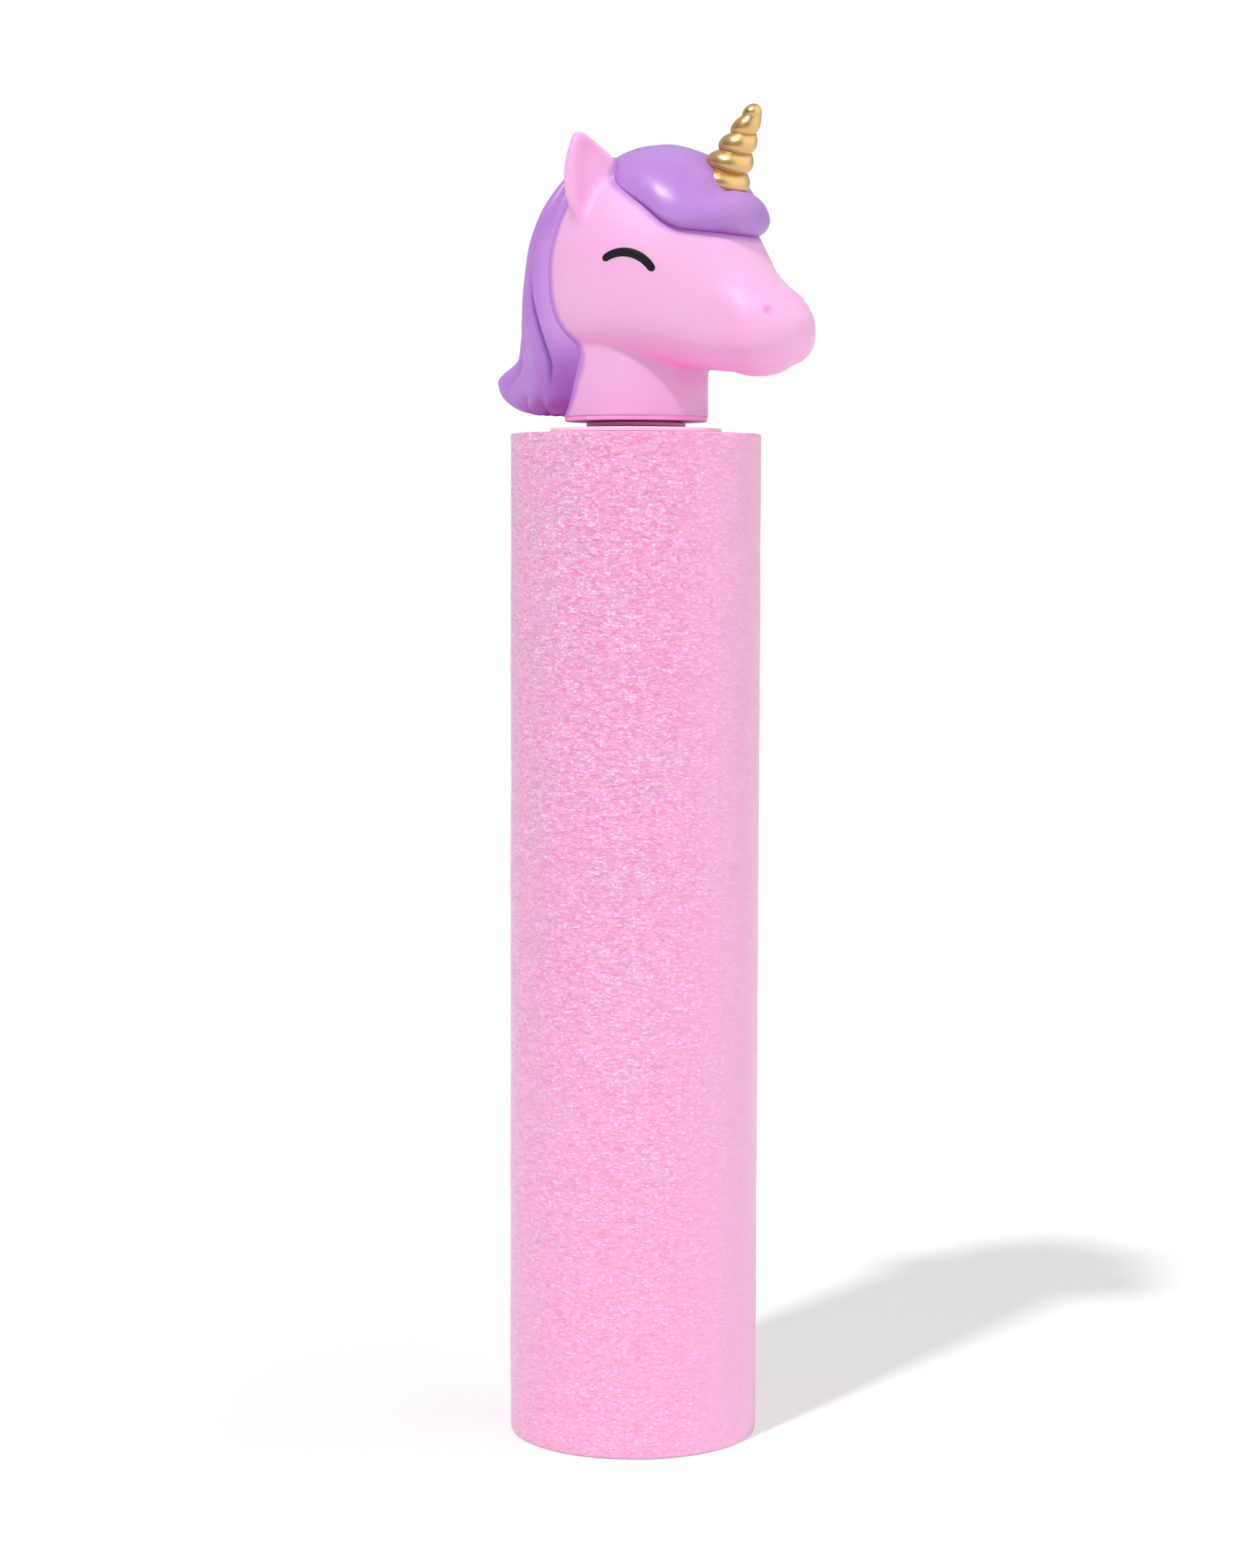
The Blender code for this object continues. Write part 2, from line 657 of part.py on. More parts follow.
def make_eye_prism(name, mirror, grow, finish, parent):
    # The arc pushed out sideways through the cheek, from inside the head
    shape = bmesh.new()
    spin = Matrix.Rotation(EYE_TILT, 4, "Y")
    place = EYE_CENTRE + Vector((0.0, mirror * WITHIN_HEAD, HEAD_Z))
    corners = [shape.verts.new(place + spin @ Vector((x, 0.0, z))) for x, z in eye_outline(grow)]
    pushed = bmesh.ops.extrude_face_region(shape, geom=[shape.faces.new(corners)], use_keep_orig=True)
    far = [item for item in pushed["geom"] if isinstance(item, bmesh.types.BMVert)]
    bmesh.ops.translate(shape, verts=far, vec=(0.0, mirror * BESIDE_HEAD, 0.0))
    bmesh.ops.recalc_face_normals(shape, faces=shape.faces)
    return add_object(name, shape, finish, parent)


def make_nostril(name, mirror, tree, parent):
    # A dimple where a line across the muzzle meets its skin
    outside = Vector((NOSE_REACH - NOSTRIL_FROM_NOSE, mirror * BESIDE_HEAD, HEAD_Z + NOSTRIL_HEIGHT))
    place = tree.ray_cast(outside, Vector((0.0, -mirror, 0.0)))[0]
    shape = bmesh.new()
    dimple = Matrix.Translation(place)
    bmesh.ops.create_icosphere(shape, subdivisions=NOSTRIL_STEPS, radius=NOSTRIL_RADIUS, matrix=dimple)
    return as_cutter(add_object(name, shape, None, parent))


def horn_rings(grow):
    axis = Vector((sin(HORN_LEAN), 0.0, cos(HORN_LEAN)))
    side = Vector((cos(HORN_LEAN), 0.0, -sin(HORN_LEAN)))
    base = HORN_BASE + Vector((0.0, 0.0, HEAD_Z))
    rings = []
    for height in spread(-HORN_ROOT, HORN_LENGTH + grow, HORN_LEVELS):
        share = height / HORN_LENGTH
        taper = HORN_BASE_RADIUS + (HORN_TIP_RADIUS - HORN_BASE_RADIUS) * share
        past_round = max(0.0, 1 - (HORN_LENGTH + grow - height) / HORN_TIP_ROUND)
        dome = max(HORN_TIP_FLAT, sqrt(1 - past_round ** 2))
        ring = []
        for index in range(HORN_SIDES):
            turn = 2 * pi * index / HORN_SIDES
            wave = abs(sin(pi * HORN_TURNS * share - turn / 2))
            radius = (taper * (1 - HORN_GROOVE * (1 - wave) ** HORN_RIDGE) + grow) * dome
            ring.append(base + axis * height + (side * cos(turn) + Vector((0, 1, 0)) * sin(turn)) * radius)
        rings.append(ring)
    return rings


def forelock_rings(grow):
    rings = []
    for forward in spread(FORELOCK_STATIONS[0][0], FORELOCK_STATIONS[-1][0], FORELOCK_LEVELS):
        top, widest, under, half = along(FORELOCK_STATIONS, forward)
        ring = []
        for index in range(FORELOCK_SIDES):
            side, rise = rounded(2 * pi * index / FORELOCK_SIDES, FORELOCK_FULLNESS)
            reach = top - widest if rise >= 0 else widest - under
            ring.append(Vector((
                forward * HEAD_UNIT,
                (half * HEAD_UNIT + grow) * side,
                HEAD_Z + widest * HEAD_UNIT + (reach * HEAD_UNIT + grow) * rise,
            )))
        rings.append(ring)
    return rings


def mane_rings():
    foot, crown = MANE_STATIONS[0][0], MANE_STATIONS[-1][0]
    flip_reach = MANE_REACH - along(MANE_STATIONS, FLIP_HEIGHT / HEAD_UNIT)[0] * HEAD_UNIT
    rings = []
    for share in spread(0.0, 1.0, MANE_LEVELS):
        level = share ** MANE_CROWDING
        height = foot + (crown - foot) * level
        back, half, front = (size * HEAD_UNIT for size in along(MANE_STATIONS, height))
        height *= HEAD_UNIT
        lock_angle = LOCK_ANGLE_HEM + (LOCK_ANGLE_CROWN - LOCK_ANGLE_HEM) * level
        parting = max(0.0, 1 - height / HEM_GROOVE_TOP)
        flip_spread = FLIP_SPREAD_ABOVE if height > FLIP_HEIGHT else FLIP_SPREAD_BELOW
        flip_here = exp(-((height - FLIP_HEIGHT) / flip_spread) ** 2)
        ring = []
        for turn in spread(-pi / 2, pi / 2, MANE_SIDES):
            lock = pi * turn / lock_angle
            flip = flip_here * exp(-(turn / FLIP_ANGLE) ** FLIP_FULLNESS)
            groove = LOCK_GROOVE * (1 - abs(sin(lock))) ** LOCK_RIDGE * (1 - level ** LOCK_FADE)
            groove += HEM_GROOVE * (1 - abs(cos(lock))) ** LOCK_RIDGE * parting
            groove *= 1 - flip
            reach = back + front + flip_reach * flip - groove
            side, rise = rounded(turn, BROW_FULLNESS)
            ring.append(Vector((front - reach * side, (half - groove / 2) * rise, HEAD_Z + height)))
        for part in spread(1.0, -1.0, MANE_FRONT_SIDES + 2)[1:-1]:
            ring.append(Vector((front + MANE_BACKING, part * half, HEAD_Z + height)))
        rings.append(ring)
    return rings


def loft_object(name, rings, finish=None, parent=None):
    shape = bmesh.new()
    add_loft(shape, rings)
    return add_object(name, shape, finish, parent)


# The whole squirter

def build():
    clear_scene()
    foam = make_material("foam_pink", (0.94, 0.42, 0.67), 0.75)
    pale = make_material("cap_pink", (0.93, 0.45, 0.70), 0.35)
    white = make_material("barrel_white", (0.86, 0.86, 0.87), 0.3)
    rose = make_material("plunger_rose", (0.72, 0.17, 0.40), 0.35)
    rubber = make_material("seal_black", (0.02, 0.02, 0.02), 0.6)
    vinyl = make_material("head_pink", (0.97, 0.57, 0.85), 0.4)
    purple = make_material("hair_purple", (0.47, 0.25, 0.72), 0.4)
    gold = make_material("horn_gold", (0.72, 0.47, 0.14), 0.3, 1.0)
    black = make_material("eye_black", (0.02, 0.02, 0.02), 0.5)

    squirter = make_empty("squirter", (AXIS_X, 0.0, 0.0))
    plunger = make_empty("plunger", (0.0, 0.0, 0.0), squirter)

    make_foam_sleeve(foam, squirter)
    make_barrel_tube(white, squirter)
    make_nozzle_cap(pale, squirter)
    make_rear_cap(pale, squirter)
    for name, height in zip(("seal_ring_upper", "seal_ring_lower"), ring_heights()):
        make_seal_ring(name, height, rubber, plunger)
    make_piston(white, plunger)
    make_plunger_rod(rose, plunger)
    make_rod_collar(rose, plunger)
    make_neck_insert(vinyl, plunger)

    skin = make_head_form()
    tree = BVHTree.FromBMesh(skin)
    outside = grown_copy("head_outside", skin, HAIR_GAP, plunger)
    eye_face = grown_copy("eye_face", skin, EYE_PROUD, plunger)
    eye_floor = grown_copy("eye_floor", skin, -EYE_DEPTH, plunger)
    pocket_floor = grown_copy("pocket_floor", skin, -(EYE_DEPTH + SEAT_GAP), plunger)
    head = add_object("head_shell", skin, vinyl, plunger)
    combine(head, make_cavity(plunger), "DIFFERENCE")
    combine(head, make_neck_bore(plunger), "DIFFERENCE")
    for side, mirror in (("right", -1), ("left", 1)):
        eye = make_eye_prism("eye_" + side, mirror, 0.0, black, plunger)
        combine(eye, eye_face, "INTERSECT")
        combine(eye, eye_floor, "DIFFERENCE")
        pocket = as_cutter(make_eye_prism("pocket_" + side, mirror, SEAT_GAP, None, plunger))
        combine(pocket, pocket_floor, "DIFFERENCE")
        combine(head, pocket, "DIFFERENCE")
        combine(head, make_nostril("nostril_" + side, mirror, tree, plunger), "DIFFERENCE")

    horn = loft_object("horn", horn_rings(0.0), gold, plunger)
    combine(horn, outside, "DIFFERENCE")
    horn_room = as_cutter(loft_object("horn_room", horn_rings(SEAT_GAP), None, plunger))

    forelock = loft_object("forelock", forelock_rings(0.0), purple, plunger)
    combine(forelock, outside, "DIFFERENCE")
    combine(forelock, horn_room, "DIFFERENCE")
    forelock_room = as_cutter(loft_object("forelock_room", forelock_rings(SEAT_GAP), None, plunger))

    mane = loft_object("mane", mane_rings(), purple, plunger)
    combine(mane, outside, "DIFFERENCE")
    combine(mane, forelock_room, "DIFFERENCE")


build()
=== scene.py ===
# Looks of a foam-sleeved pump squirter with a unicorn-head handle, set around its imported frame
from math import asin, cos, pi, radians, sin, sqrt
import bmesh
import bpy
import numpy as np
from mathutils import Matrix, Vector, noise
from mathutils.bvhtree import BVHTree


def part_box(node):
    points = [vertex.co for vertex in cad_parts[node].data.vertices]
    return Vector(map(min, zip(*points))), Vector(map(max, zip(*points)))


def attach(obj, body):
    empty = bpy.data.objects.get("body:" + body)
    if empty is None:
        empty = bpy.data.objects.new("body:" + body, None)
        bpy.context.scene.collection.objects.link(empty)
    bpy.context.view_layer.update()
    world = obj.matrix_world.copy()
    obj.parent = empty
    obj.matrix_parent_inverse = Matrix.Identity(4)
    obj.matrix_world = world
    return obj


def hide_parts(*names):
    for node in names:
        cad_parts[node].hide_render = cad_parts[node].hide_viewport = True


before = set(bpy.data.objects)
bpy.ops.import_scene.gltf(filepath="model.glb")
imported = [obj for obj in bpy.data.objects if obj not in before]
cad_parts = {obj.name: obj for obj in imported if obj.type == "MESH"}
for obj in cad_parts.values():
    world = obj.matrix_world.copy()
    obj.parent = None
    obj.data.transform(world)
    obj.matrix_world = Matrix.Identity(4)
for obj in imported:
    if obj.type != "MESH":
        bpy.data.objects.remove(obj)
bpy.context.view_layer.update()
mm = 0.001

# places taken from the frame
foamLow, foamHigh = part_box("foam_sleeve")
axisX = (foamLow.x + foamHigh.x) / 2
foamRadius = (foamHigh.x - foamLow.x) / 2
foamTop = foamHigh.z
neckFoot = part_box("head_shell")[0].z


# node helpers

class Wire:
    # an output socket; its operators add Math nodes
    def __init__(self, bench, socket):
        self.bench = bench
        self.socket = socket

    def maths(self, operation, first, second=0.0):
        return self.bench.node("ShaderNodeMath", {"operation": operation}, {0: first, 1: second})

    def __add__(self, other):
        return self.maths("ADD", self, other)

    def __radd__(self, other):
        return self.maths("ADD", other, self)

    def __sub__(self, other):
        return self.maths("SUBTRACT", self, other)

    def __rsub__(self, other):
        return self.maths("SUBTRACT", other, self)

    def __mul__(self, other):
        return self.maths("MULTIPLY", self, other)

    def __rmul__(self, other):
        return self.maths("MULTIPLY", other, self)

    def __pow__(self, other):
        return self.maths("POWER", self, other)

    def __abs__(self):
        return self.maths("ABSOLUTE", self)


class Bench:
    # a node tree, and the one way in which nodes come into it
    def __init__(self, tree):
        self.tree = tree

    def node(self, kind, settings=None, inputs=None, out=0):
        made = self.tree.nodes.new(kind)
        for name, value in (settings or {}).items():
            setattr(made, name, value)
        for key, value in (inputs or {}).items():
            self.feed(made.inputs[key], value)
        return Wire(self, made.outputs[out])

    def feed(self, socket, value):
        if isinstance(value, Wire):
            self.tree.links.new(value.socket, socket)
        else:
            socket.default_value = value

    def mix(self, share, first, second):
        return self.node("ShaderNodeMix", {"data_type": "RGBA"}, {0: share, 6: first, 7: second}, 2)

    def ramp(self, value, low, high):
        return self.node(
            "ShaderNodeMapRange", {"interpolation_type": "SMOOTHSTEP"},
            {"Value": value, "From Min": low, "From Max": high},
        )

    def vectors(self, operation, first, second=(0, 0, 0)):
        return self.node("ShaderNodeVectorMath", {"operation": operation}, {0: first, 1: second})

    def dot(self, first, second):
        settings = {"operation": "DOT_PRODUCT"}
        return self.node("ShaderNodeVectorMath", settings, {0: first, 1: second}, "Value")

    def stretched(self, vector, factors):
        return self.vectors("MULTIPLY", vector, factors)

    def axis(self, vector, name):
        return self.node("ShaderNodeSeparateXYZ", {}, {0: vector}, name)

    def cloud(self, vector, size, detail=2.0, roughness=0.5, distortion=0.0):
        return self.node("ShaderNodeTexNoise", {}, {
            "Vector": vector, "Scale": 1 / size, "Detail": detail,
            "Roughness": roughness, "Distortion": distortion,
        })

    def voronoi(self, vector, size, out):
        return self.node("ShaderNodeTexVoronoi", {}, {"Vector": vector, "Scale": 1 / size}, out)

    def painted(self, name):
        return self.node("ShaderNodeAttribute", {"attribute_name": name}, {}, "Fac")

    def lightPath(self, name):
        return self.node("ShaderNodeLightPath", {}, {}, name)

    def bump(self, height, depth, strength=1.0):
        return self.node(
            "ShaderNodeBump", {}, {"Strength": strength, "Distance": depth, "Height": height}, "Normal",
        )


class Finish(Bench):
    # one material with its Principled shader
    def __init__(self, name):
        self.material = bpy.data.materials.new(name)
        self.material.use_nodes = True
        super().__init__(self.material.node_tree)
        self.here = self.node("ShaderNodeTexCoord", {}, {}, "Object")

    def surface(self, sockets):
        shader = self.tree.nodes["Principled BSDF"]
        for name, value in sockets.items():
            self.feed(shader.inputs[name], value)


def tone(red, green, blue):
    # a screen colour, 0 to 255, as the linear colour that nodes take
    def linear(level):
        level /= 255
        return level / 12.92 if level <= 0.04045 else ((level + 0.055) / 1.055) ** 2.4
    return (linear(red), linear(green), linear(blue), 1.0)


# mesh helpers

def asPiece(name, mesh):
    piece = bpy.data.objects.new(name, mesh)
    bpy.context.scene.collection.objects.link(piece)
    mesh.shade_smooth()
    return piece


def loft(name, rings):
    # a closed skin through closed rings of equal counts, with a fan at each end
    rings = np.asarray(rings)
    levels, sides = rings.shape[:2]
    index = np.arange(levels * sides).reshape(levels, sides)
    after = np.roll(index, -1, axis=1)
    walls = np.stack((index[:-1], after[:-1], after[1:], index[1:]), axis=-1).reshape(-1, 4)
    foot, crown = levels * sides, levels * sides + 1
    fans = [(foot, b, a) for a, b in zip(index[0], after[0])]
    fans += [(crown, a, b) for a, b in zip(index[-1], after[-1])]
    mesh = bpy.data.meshes.new(name)
    corners = np.vstack((rings.reshape(-1, 3), rings[[0, -1]].mean(axis=1)))
    mesh.from_pydata(corners.tolist(), [], walls.tolist() + [tuple(map(int, fan)) for fan in fans])
    shape = bmesh.new()
    shape.from_mesh(mesh)
    bmesh.ops.recalc_face_normals(shape, faces=shape.faces)
    shape.to_mesh(mesh)
    shape.free()
    return asPiece(name, mesh)


def eased(outline, radius, points=5):
    # an outline of (radius, height); a third number rounds its corner, as a share of the radius given
    result = []
    for index, corner in enumerate(outline):
        here = Vector(corner[:2])
        if len(corner) < 3:
            result.append(tuple(here))
            continue
        cut = radius * corner[2]
        before = here + (Vector(outline[index - 1][:2]) - here).normalized() * cut
        after = here + (Vector(outline[(index + 1) % len(outline)][:2]) - here).normalized() * cut
        for share in np.linspace(0, 1, points):
            result.append(tuple(before.lerp(here, share).lerp(here.lerp(after, share), share)))
    return result


def turned(name, outline, sides=160, joinGap=0.001 * mm, sharpFrom=radians(50)):
    # a closed outline turned round the barrel's axis
    shape = bmesh.new()
    corners = [shape.verts.new((radius, 0, height)) for radius, height in outline]
    edges = [shape.edges.new(pair) for pair in zip(corners, corners[1:] + corners[:1])]
    bmesh.ops.spin(
        shape, geom=corners + edges, axis=(0, 0, 1), cent=(0, 0, 0), angle=2 * pi, steps=sides,
        use_merge=True,
    )
    bmesh.ops.remove_doubles(shape, verts=shape.verts, dist=joinGap)
    bmesh.ops.recalc_face_normals(shape, faces=shape.faces)
    bmesh.ops.translate(shape, verts=shape.verts, vec=(axisX, 0, 0))
    mesh = bpy.data.meshes.new(name)
    shape.to_mesh(mesh)
    shape.free()
    piece = asPiece(name, mesh)
    mesh.set_sharp_from_angle(angle=sharpFrom)
    return piece


def curveAt(stations, place):
    # sizes at one place, on a smooth curve through the stations
    last = len(stations) - 1
    index = 0
    while index < last - 1 and stations[index + 1][0] <= place:
        index += 1
    start, end = np.array(stations[index]), np.array(stations[index + 1])
    before, after = np.array(stations[max(index - 1, 0)]), np.array(stations[min(index + 2, last)])
    span = end[0] - start[0]
    share = (place - start[0]) / span
    leave = (end - before) / (end[0] - before[0]) * span
    arrive = (after - start) / (after[0] - start[0]) * span
    bend = share * (1 - share) * ((1 - share) * leave - share * arrive)
    return (start + (end - start) * share * share * (3 - 2 * share) + bend)[1:]


def rounded(turns, fullness):
    # points of a rounded square of unit half width
    side, rise = np.cos(turns), np.sin(turns)
    power = 2 / fullness
    return np.sign(side) * np.abs(side) ** power, np.sign(rise) * np.abs(rise) ** power


def smooth(value, low, high):
    share = np.clip((value - low) / (high - low), 0, 1)
    return share * share * (3 - 2 * share)


def between(value, low, fullFrom, fullTo, high):
    # 1 in the middle of a range, and smoothly down to 0 at its ends
    return smooth(value, low, fullFrom) * (1 - smooth(value, fullTo, high))


def spreadOut(mesh, values, steps):
    # values at the points of a mesh, averaged with their neighbours step by step
    links = np.array([edge.vertices[:] for edge in mesh.edges])
    for step in range(steps):
        total, count = values.copy(), np.ones(len(values))
        for near, far in ((0, 1), (1, 0)):
            np.add.at(total, links[:, near], values[links[:, far]])
            np.add.at(count, links[:, near], 1)
        values = (total.T / count).T
    return values


def aroundRing(sides):
    return np.linspace(0, 2 * pi, sides, endpoint=False)


def combined(piece, other, operation):
    # a Boolean that is worked out at once, with the other piece taken away
    cut = piece.modifiers.new(operation.lower(), "BOOLEAN")
    cut.operation = operation
    cut.object = other
    cut.solver = "MANIFOLD"
    workedOut(piece)
    bpy.data.objects.remove(other, do_unlink=True)


def workedOut(piece):
    # the piece's modifiers made part of its mesh
    graph = bpy.context.evaluated_depsgraph_get()
    mesh = bpy.data.meshes.new_from_object(piece.evaluated_get(graph))
    piece.modifiers.clear()
    piece.data = mesh
    mesh.shade_smooth()


def treeOf(piece):
    return BVHTree.FromObject(piece, bpy.context.evaluated_depsgraph_get())


def setPaint(piece, name, values):
    layer = piece.data.attributes.new(name, "FLOAT", "POINT")
    layer.data.foreach_set("value", np.asarray(values, dtype=np.float32))


def settle(piece, finish, body, slot, *nodes):
    piece.data.materials.clear()
    piece.data.materials.append(finish.material)
    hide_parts(*nodes)
    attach(piece, body)


# foam sleeve: a thick tube of closed-cell foam with a finely crinkled skin

foam = {
    "bore": 17.3 * mm,
    "pocketRadius": 20.8 * mm,
    "pocketRoof": 2.2 * mm,
    "rimEase": 0.5 * mm,
    "sides": 300,
    "rowHeight": 1.0 * mm,
    "lumpSize": 13 * mm,
    "lumpDepth": 0.12 * mm,
    "lumpSink": 0.6,                     # sets the lumps in, so that few stand out past the tube
    "creaseLength": 3.0 * mm,
    "creaseSpacing": 1.6 * mm,
    "creaseDepth": 0.05 * mm,
    "crinkleFrom": 0.5,                  # share of the cut end over which the lumps set in
    "flatness": 2.2,                     # how much wider than tall the wrinkles are
    "patchSize": 14 * mm,
    "patchRange": (0.36, 0.6),
    "patchShare": 0.18,
    "patchTint": 0.2,
    "wrinkleSize": 2.0 * mm,
    "fineSize": 0.9 * mm,
    "gritSize": 0.42 * mm,
    "crestPower": 6,
    "relief": (0.6, 0.4, 0.5, 0.25),     # wrinkle, crest, fine and grit in the bump
    "bumpDepth": 0.5 * mm,
    "bumpStrength": 0.8,
    "crinkleFoot": 0.62,
    "crinkleRise": 0.48,                 # how much more it is crinkled at its top
    "drawnSmooth": 0.7,                  # share of the crinkles lost on the smooth side and the cut ends
    "cutRange": (0.5, 0.9),
    "smoothSheenWay": (0.85, 0.53, 0.0),       # the side on which the skin is smoother and painted paler, as painted sheen
    "smoothSheenFrom": 0.05 * foamRadius,
    "smoothSheenTo": 0.95 * foamRadius,
    "paintedSheenTint": 0.6,
    "glintSize": 0.9 * mm,
    "glintShare": 0.2,
    "glintFade": 0.02,
    "glintEdge": (0.5, 0.65),
    "glintLean": (0.4, 0.8),             # how far the glinting facets lean up, as slopes
    "glintTurn": 0.3,
    "paintedGlintTint": 0.4,
    "glintPolish": 0.14,
    "roughness": 0.3,
    "fineRoughness": 0.2,
    "fineRange": (0.35, 0.7),
    "recessShadeRange": (0.4, 0.8),
    "crestHighlightRange": (0.5, 1.05),
    "crestHighlightWeight": 0.4,
    "base": tone(244, 151, 203),
    # painted highlight on the wrinkles' crests
    "light": tone(249, 196, 230),
    # painted shade in the wrinkles' troughs
    "deep": tone(238, 131, 189),
    # painted glint colour for the glinting facets
    "glint": tone(255, 240, 250),
    "smoothSheenSide": tone(240, 178, 214),
    "foot": tone(236, 182, 217),         # paler towards its foot
    "footTint": 0.28,
}


def makeFoamSleeve():
    outline = eased([
        (foam["bore"], foamTop),
        (foamRadius, foamTop, 1),
        (foamRadius, 0, 1),
        (foam["pocketRadius"], 0),
        (foam["pocketRadius"], foam["pocketRoof"]),
        (foam["bore"], foam["pocketRoof"]),
    ], foam["rimEase"])
    # rows of the outer wall, so that it can be crinkled
    rows = int((foamTop - 2 * foam["rimEase"]) / foam["rowHeight"])
    upper = [radius > foam["bore"] and height > foamTop / 2 for radius, height in outline]
    wallTop = max(np.flatnonzero(upper))
    heights = np.linspace(outline[wallTop][1], outline[wallTop + 1][1], rows)
    outline[wallTop:wallTop + 2] = [(foamRadius, height) for height in heights]
    piece = turned("foamSleeve", outline, foam["sides"])
    for corner in piece.data.vertices:
        out = Vector((corner.co.x - axisX, corner.co.y, 0))
        skin = (out.length - foam["pocketRadius"]) / (foamRadius - foam["pocketRadius"])
        if skin <= 0:
            continue
        spot = corner.co
        lump = noise.noise(spot / foam["lumpSize"])
        crease = noise.noise(Vector((
            spot.x / foam["creaseLength"], spot.y / foam["creaseLength"], spot.z / foam["creaseSpacing"],
        )))
        move = foam["lumpDepth"] * (lump - foam["lumpSink"]) + foam["creaseDepth"] * crease
        corner.co = spot + out.normalized() * move * min(1, skin / foam["crinkleFrom"])
    return piece


def foamFinish():
    finish = Finish("crinkledFoam")
    flat = finish.stretched(finish.here, (1, 1, foam["flatness"]))
    patches = finish.cloud(finish.here, foam["patchSize"])
    wrinkle = finish.cloud(flat, foam["wrinkleSize"], detail=4, roughness=0.62, distortion=0.8)
    fine = finish.cloud(flat, foam["fineSize"], detail=3, roughness=0.6, distortion=0.6)
    grit = finish.cloud(finish.here, foam["gritSize"])
    crest = (1 - abs(wrinkle * 2 - 1)) ** foam["crestPower"]
    sideways = finish.dot(finish.vectors("SUBTRACT", finish.here, (axisX, 0, 0)), foam["smoothSheenWay"])
    smoothSheenSide = finish.ramp(sideways, foam["smoothSheenFrom"], foam["smoothSheenTo"])
    facing = finish.axis(finish.node("ShaderNodeNewGeometry", {}, {}, "Normal"), "Z")
    cutEnd = finish.ramp(abs(facing), *foam["cutRange"])
    rise = finish.ramp(finish.axis(finish.here, "Z"), 0.0, foamTop)
    crinkled = 1 - foam["patchShare"] + foam["patchShare"] * finish.ramp(patches, *foam["patchRange"])
    crinkled = crinkled * (1 - foam["drawnSmooth"] * smoothSheenSide) * (1 - foam["drawnSmooth"] * cutEnd)
    crinkled = crinkled * (foam["crinkleFoot"] + foam["crinkleRise"] * rise)
    ofWrinkle, ofCrest, ofFine, ofGrit = foam["relief"]
    height = crinkled * (wrinkle * ofWrinkle + crest * ofCrest + fine * ofFine + grit * ofGrit)
    # painted shade in the wrinkles' troughs and painted highlight on their crests
    raised = finish.ramp(wrinkle + patches * foam["patchTint"], *foam["recessShadeRange"])
    colour = finish.mix(raised, foam["deep"], foam["base"])
    colour = finish.mix(foam["footTint"] * (1 - rise), colour, foam["foot"])
    crested = finish.ramp(fine + crest * foam["crestHighlightWeight"], *foam["crestHighlightRange"])
    colour = finish.mix(crinkled * crested, colour, foam["light"])
    # painted sheen: the smooth side is painted paler
    colour = finish.mix(smoothSheenSide * foam["paintedSheenTint"], colour, foam["smoothSheenSide"])
    # glints come from scattered facets of the skin that lie open to the light above; the same facets are
    # also painted paler, as painted glints
    facet = finish.voronoi(flat, foam["glintSize"], "Color")
    spot = 1 - finish.ramp(finish.voronoi(flat, foam["glintSize"], "Distance"), *foam["glintEdge"])
    chosen = 1 - foam["glintShare"]
    chosen = finish.ramp(finish.axis(facet, "X"), chosen - foam["glintFade"], chosen)
    glint = spot * crinkled * chosen
    least, most = foam["glintLean"]
    lean = finish.node("ShaderNodeCombineXYZ", {}, {
        "X": glint * foam["glintTurn"] * (finish.axis(facet, "Y") * 2 - 1),
        "Y": glint * foam["glintTurn"] * (finish.axis(facet, "Z") * 2 - 1),
        "Z": glint * (least + (most - least) * finish.axis(facet, "Z")),
    })
    leaning = finish.vectors("ADD", finish.bump(height, foam["bumpDepth"], foam["bumpStrength"]), lean)
    rough = foam["roughness"] + foam["fineRoughness"] * finish.ramp(fine, *foam["fineRange"])
    finish.surface({
        "Base Color": finish.mix(glint * foam["paintedGlintTint"], colour, foam["glint"]),
        "Roughness": rough - foam["glintPolish"] * glint,
        "Normal": finish.vectors("NORMALIZE", leaning),
        "Specular IOR Level": 0.8,
        "Sheen Weight": 0.3,
        "Sheen Roughness": 0.4,
        "Subsurface Weight": 0.2,
        "Subsurface Radius": (1.0, 0.35, 0.6),
        "Subsurface Scale": 2 * mm,
    })
    return finish


# caps at the barrel's two ends

caps = {
    "flangeRadius": 20.5 * mm,
    "flangeThick": 1.0 * mm,
    "edgeEase": 0.3 * mm,
    "guideBore": 9.15 * mm,
    "guideWall": 1.8 * mm,
    "guideLength": 9 * mm,
    "spigotRadius": 15.1 * mm,
    "spigotWall": 1.6 * mm,
    "nozzleFlangeThick": 1.6 * mm,
    "nozzleCup": 12.1 * mm,
    "nozzleFloor": 4.5 * mm,
    "jetRadius": 3.0 * mm,
    "jetMouth": 6.0 * mm,
    "jetMouthDepth": 3.0 * mm,
    "ringRadius": 15.5 * mm,
    "ringWidth": 1.2 * mm,
    "ringDepth": 0.5 * mm,
    "colour": tone(254, 226, 243),
    "shade": tone(252, 218, 239),
    "roughness": 0.32,
}


def makeRearCap():
    low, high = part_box("rear_cap")
    under = high.z - caps["flangeThick"]
    guideOut = caps["guideBore"] + caps["guideWall"]
    skirt = caps["spigotRadius"] - caps["spigotWall"]
    return turned("rearCap", eased([
        (caps["guideBore"], high.z, 1),
        (caps["flangeRadius"], high.z, 1),
        (caps["flangeRadius"], under, 1),
        (caps["spigotRadius"], under),
        (caps["spigotRadius"], low.z, 1),
        (skirt, low.z),
        (skirt, under),
        (guideOut, under),
        (guideOut, under - caps["guideLength"], 1),
        (caps["guideBore"], under - caps["guideLength"]),
    ], caps["edgeEase"]))


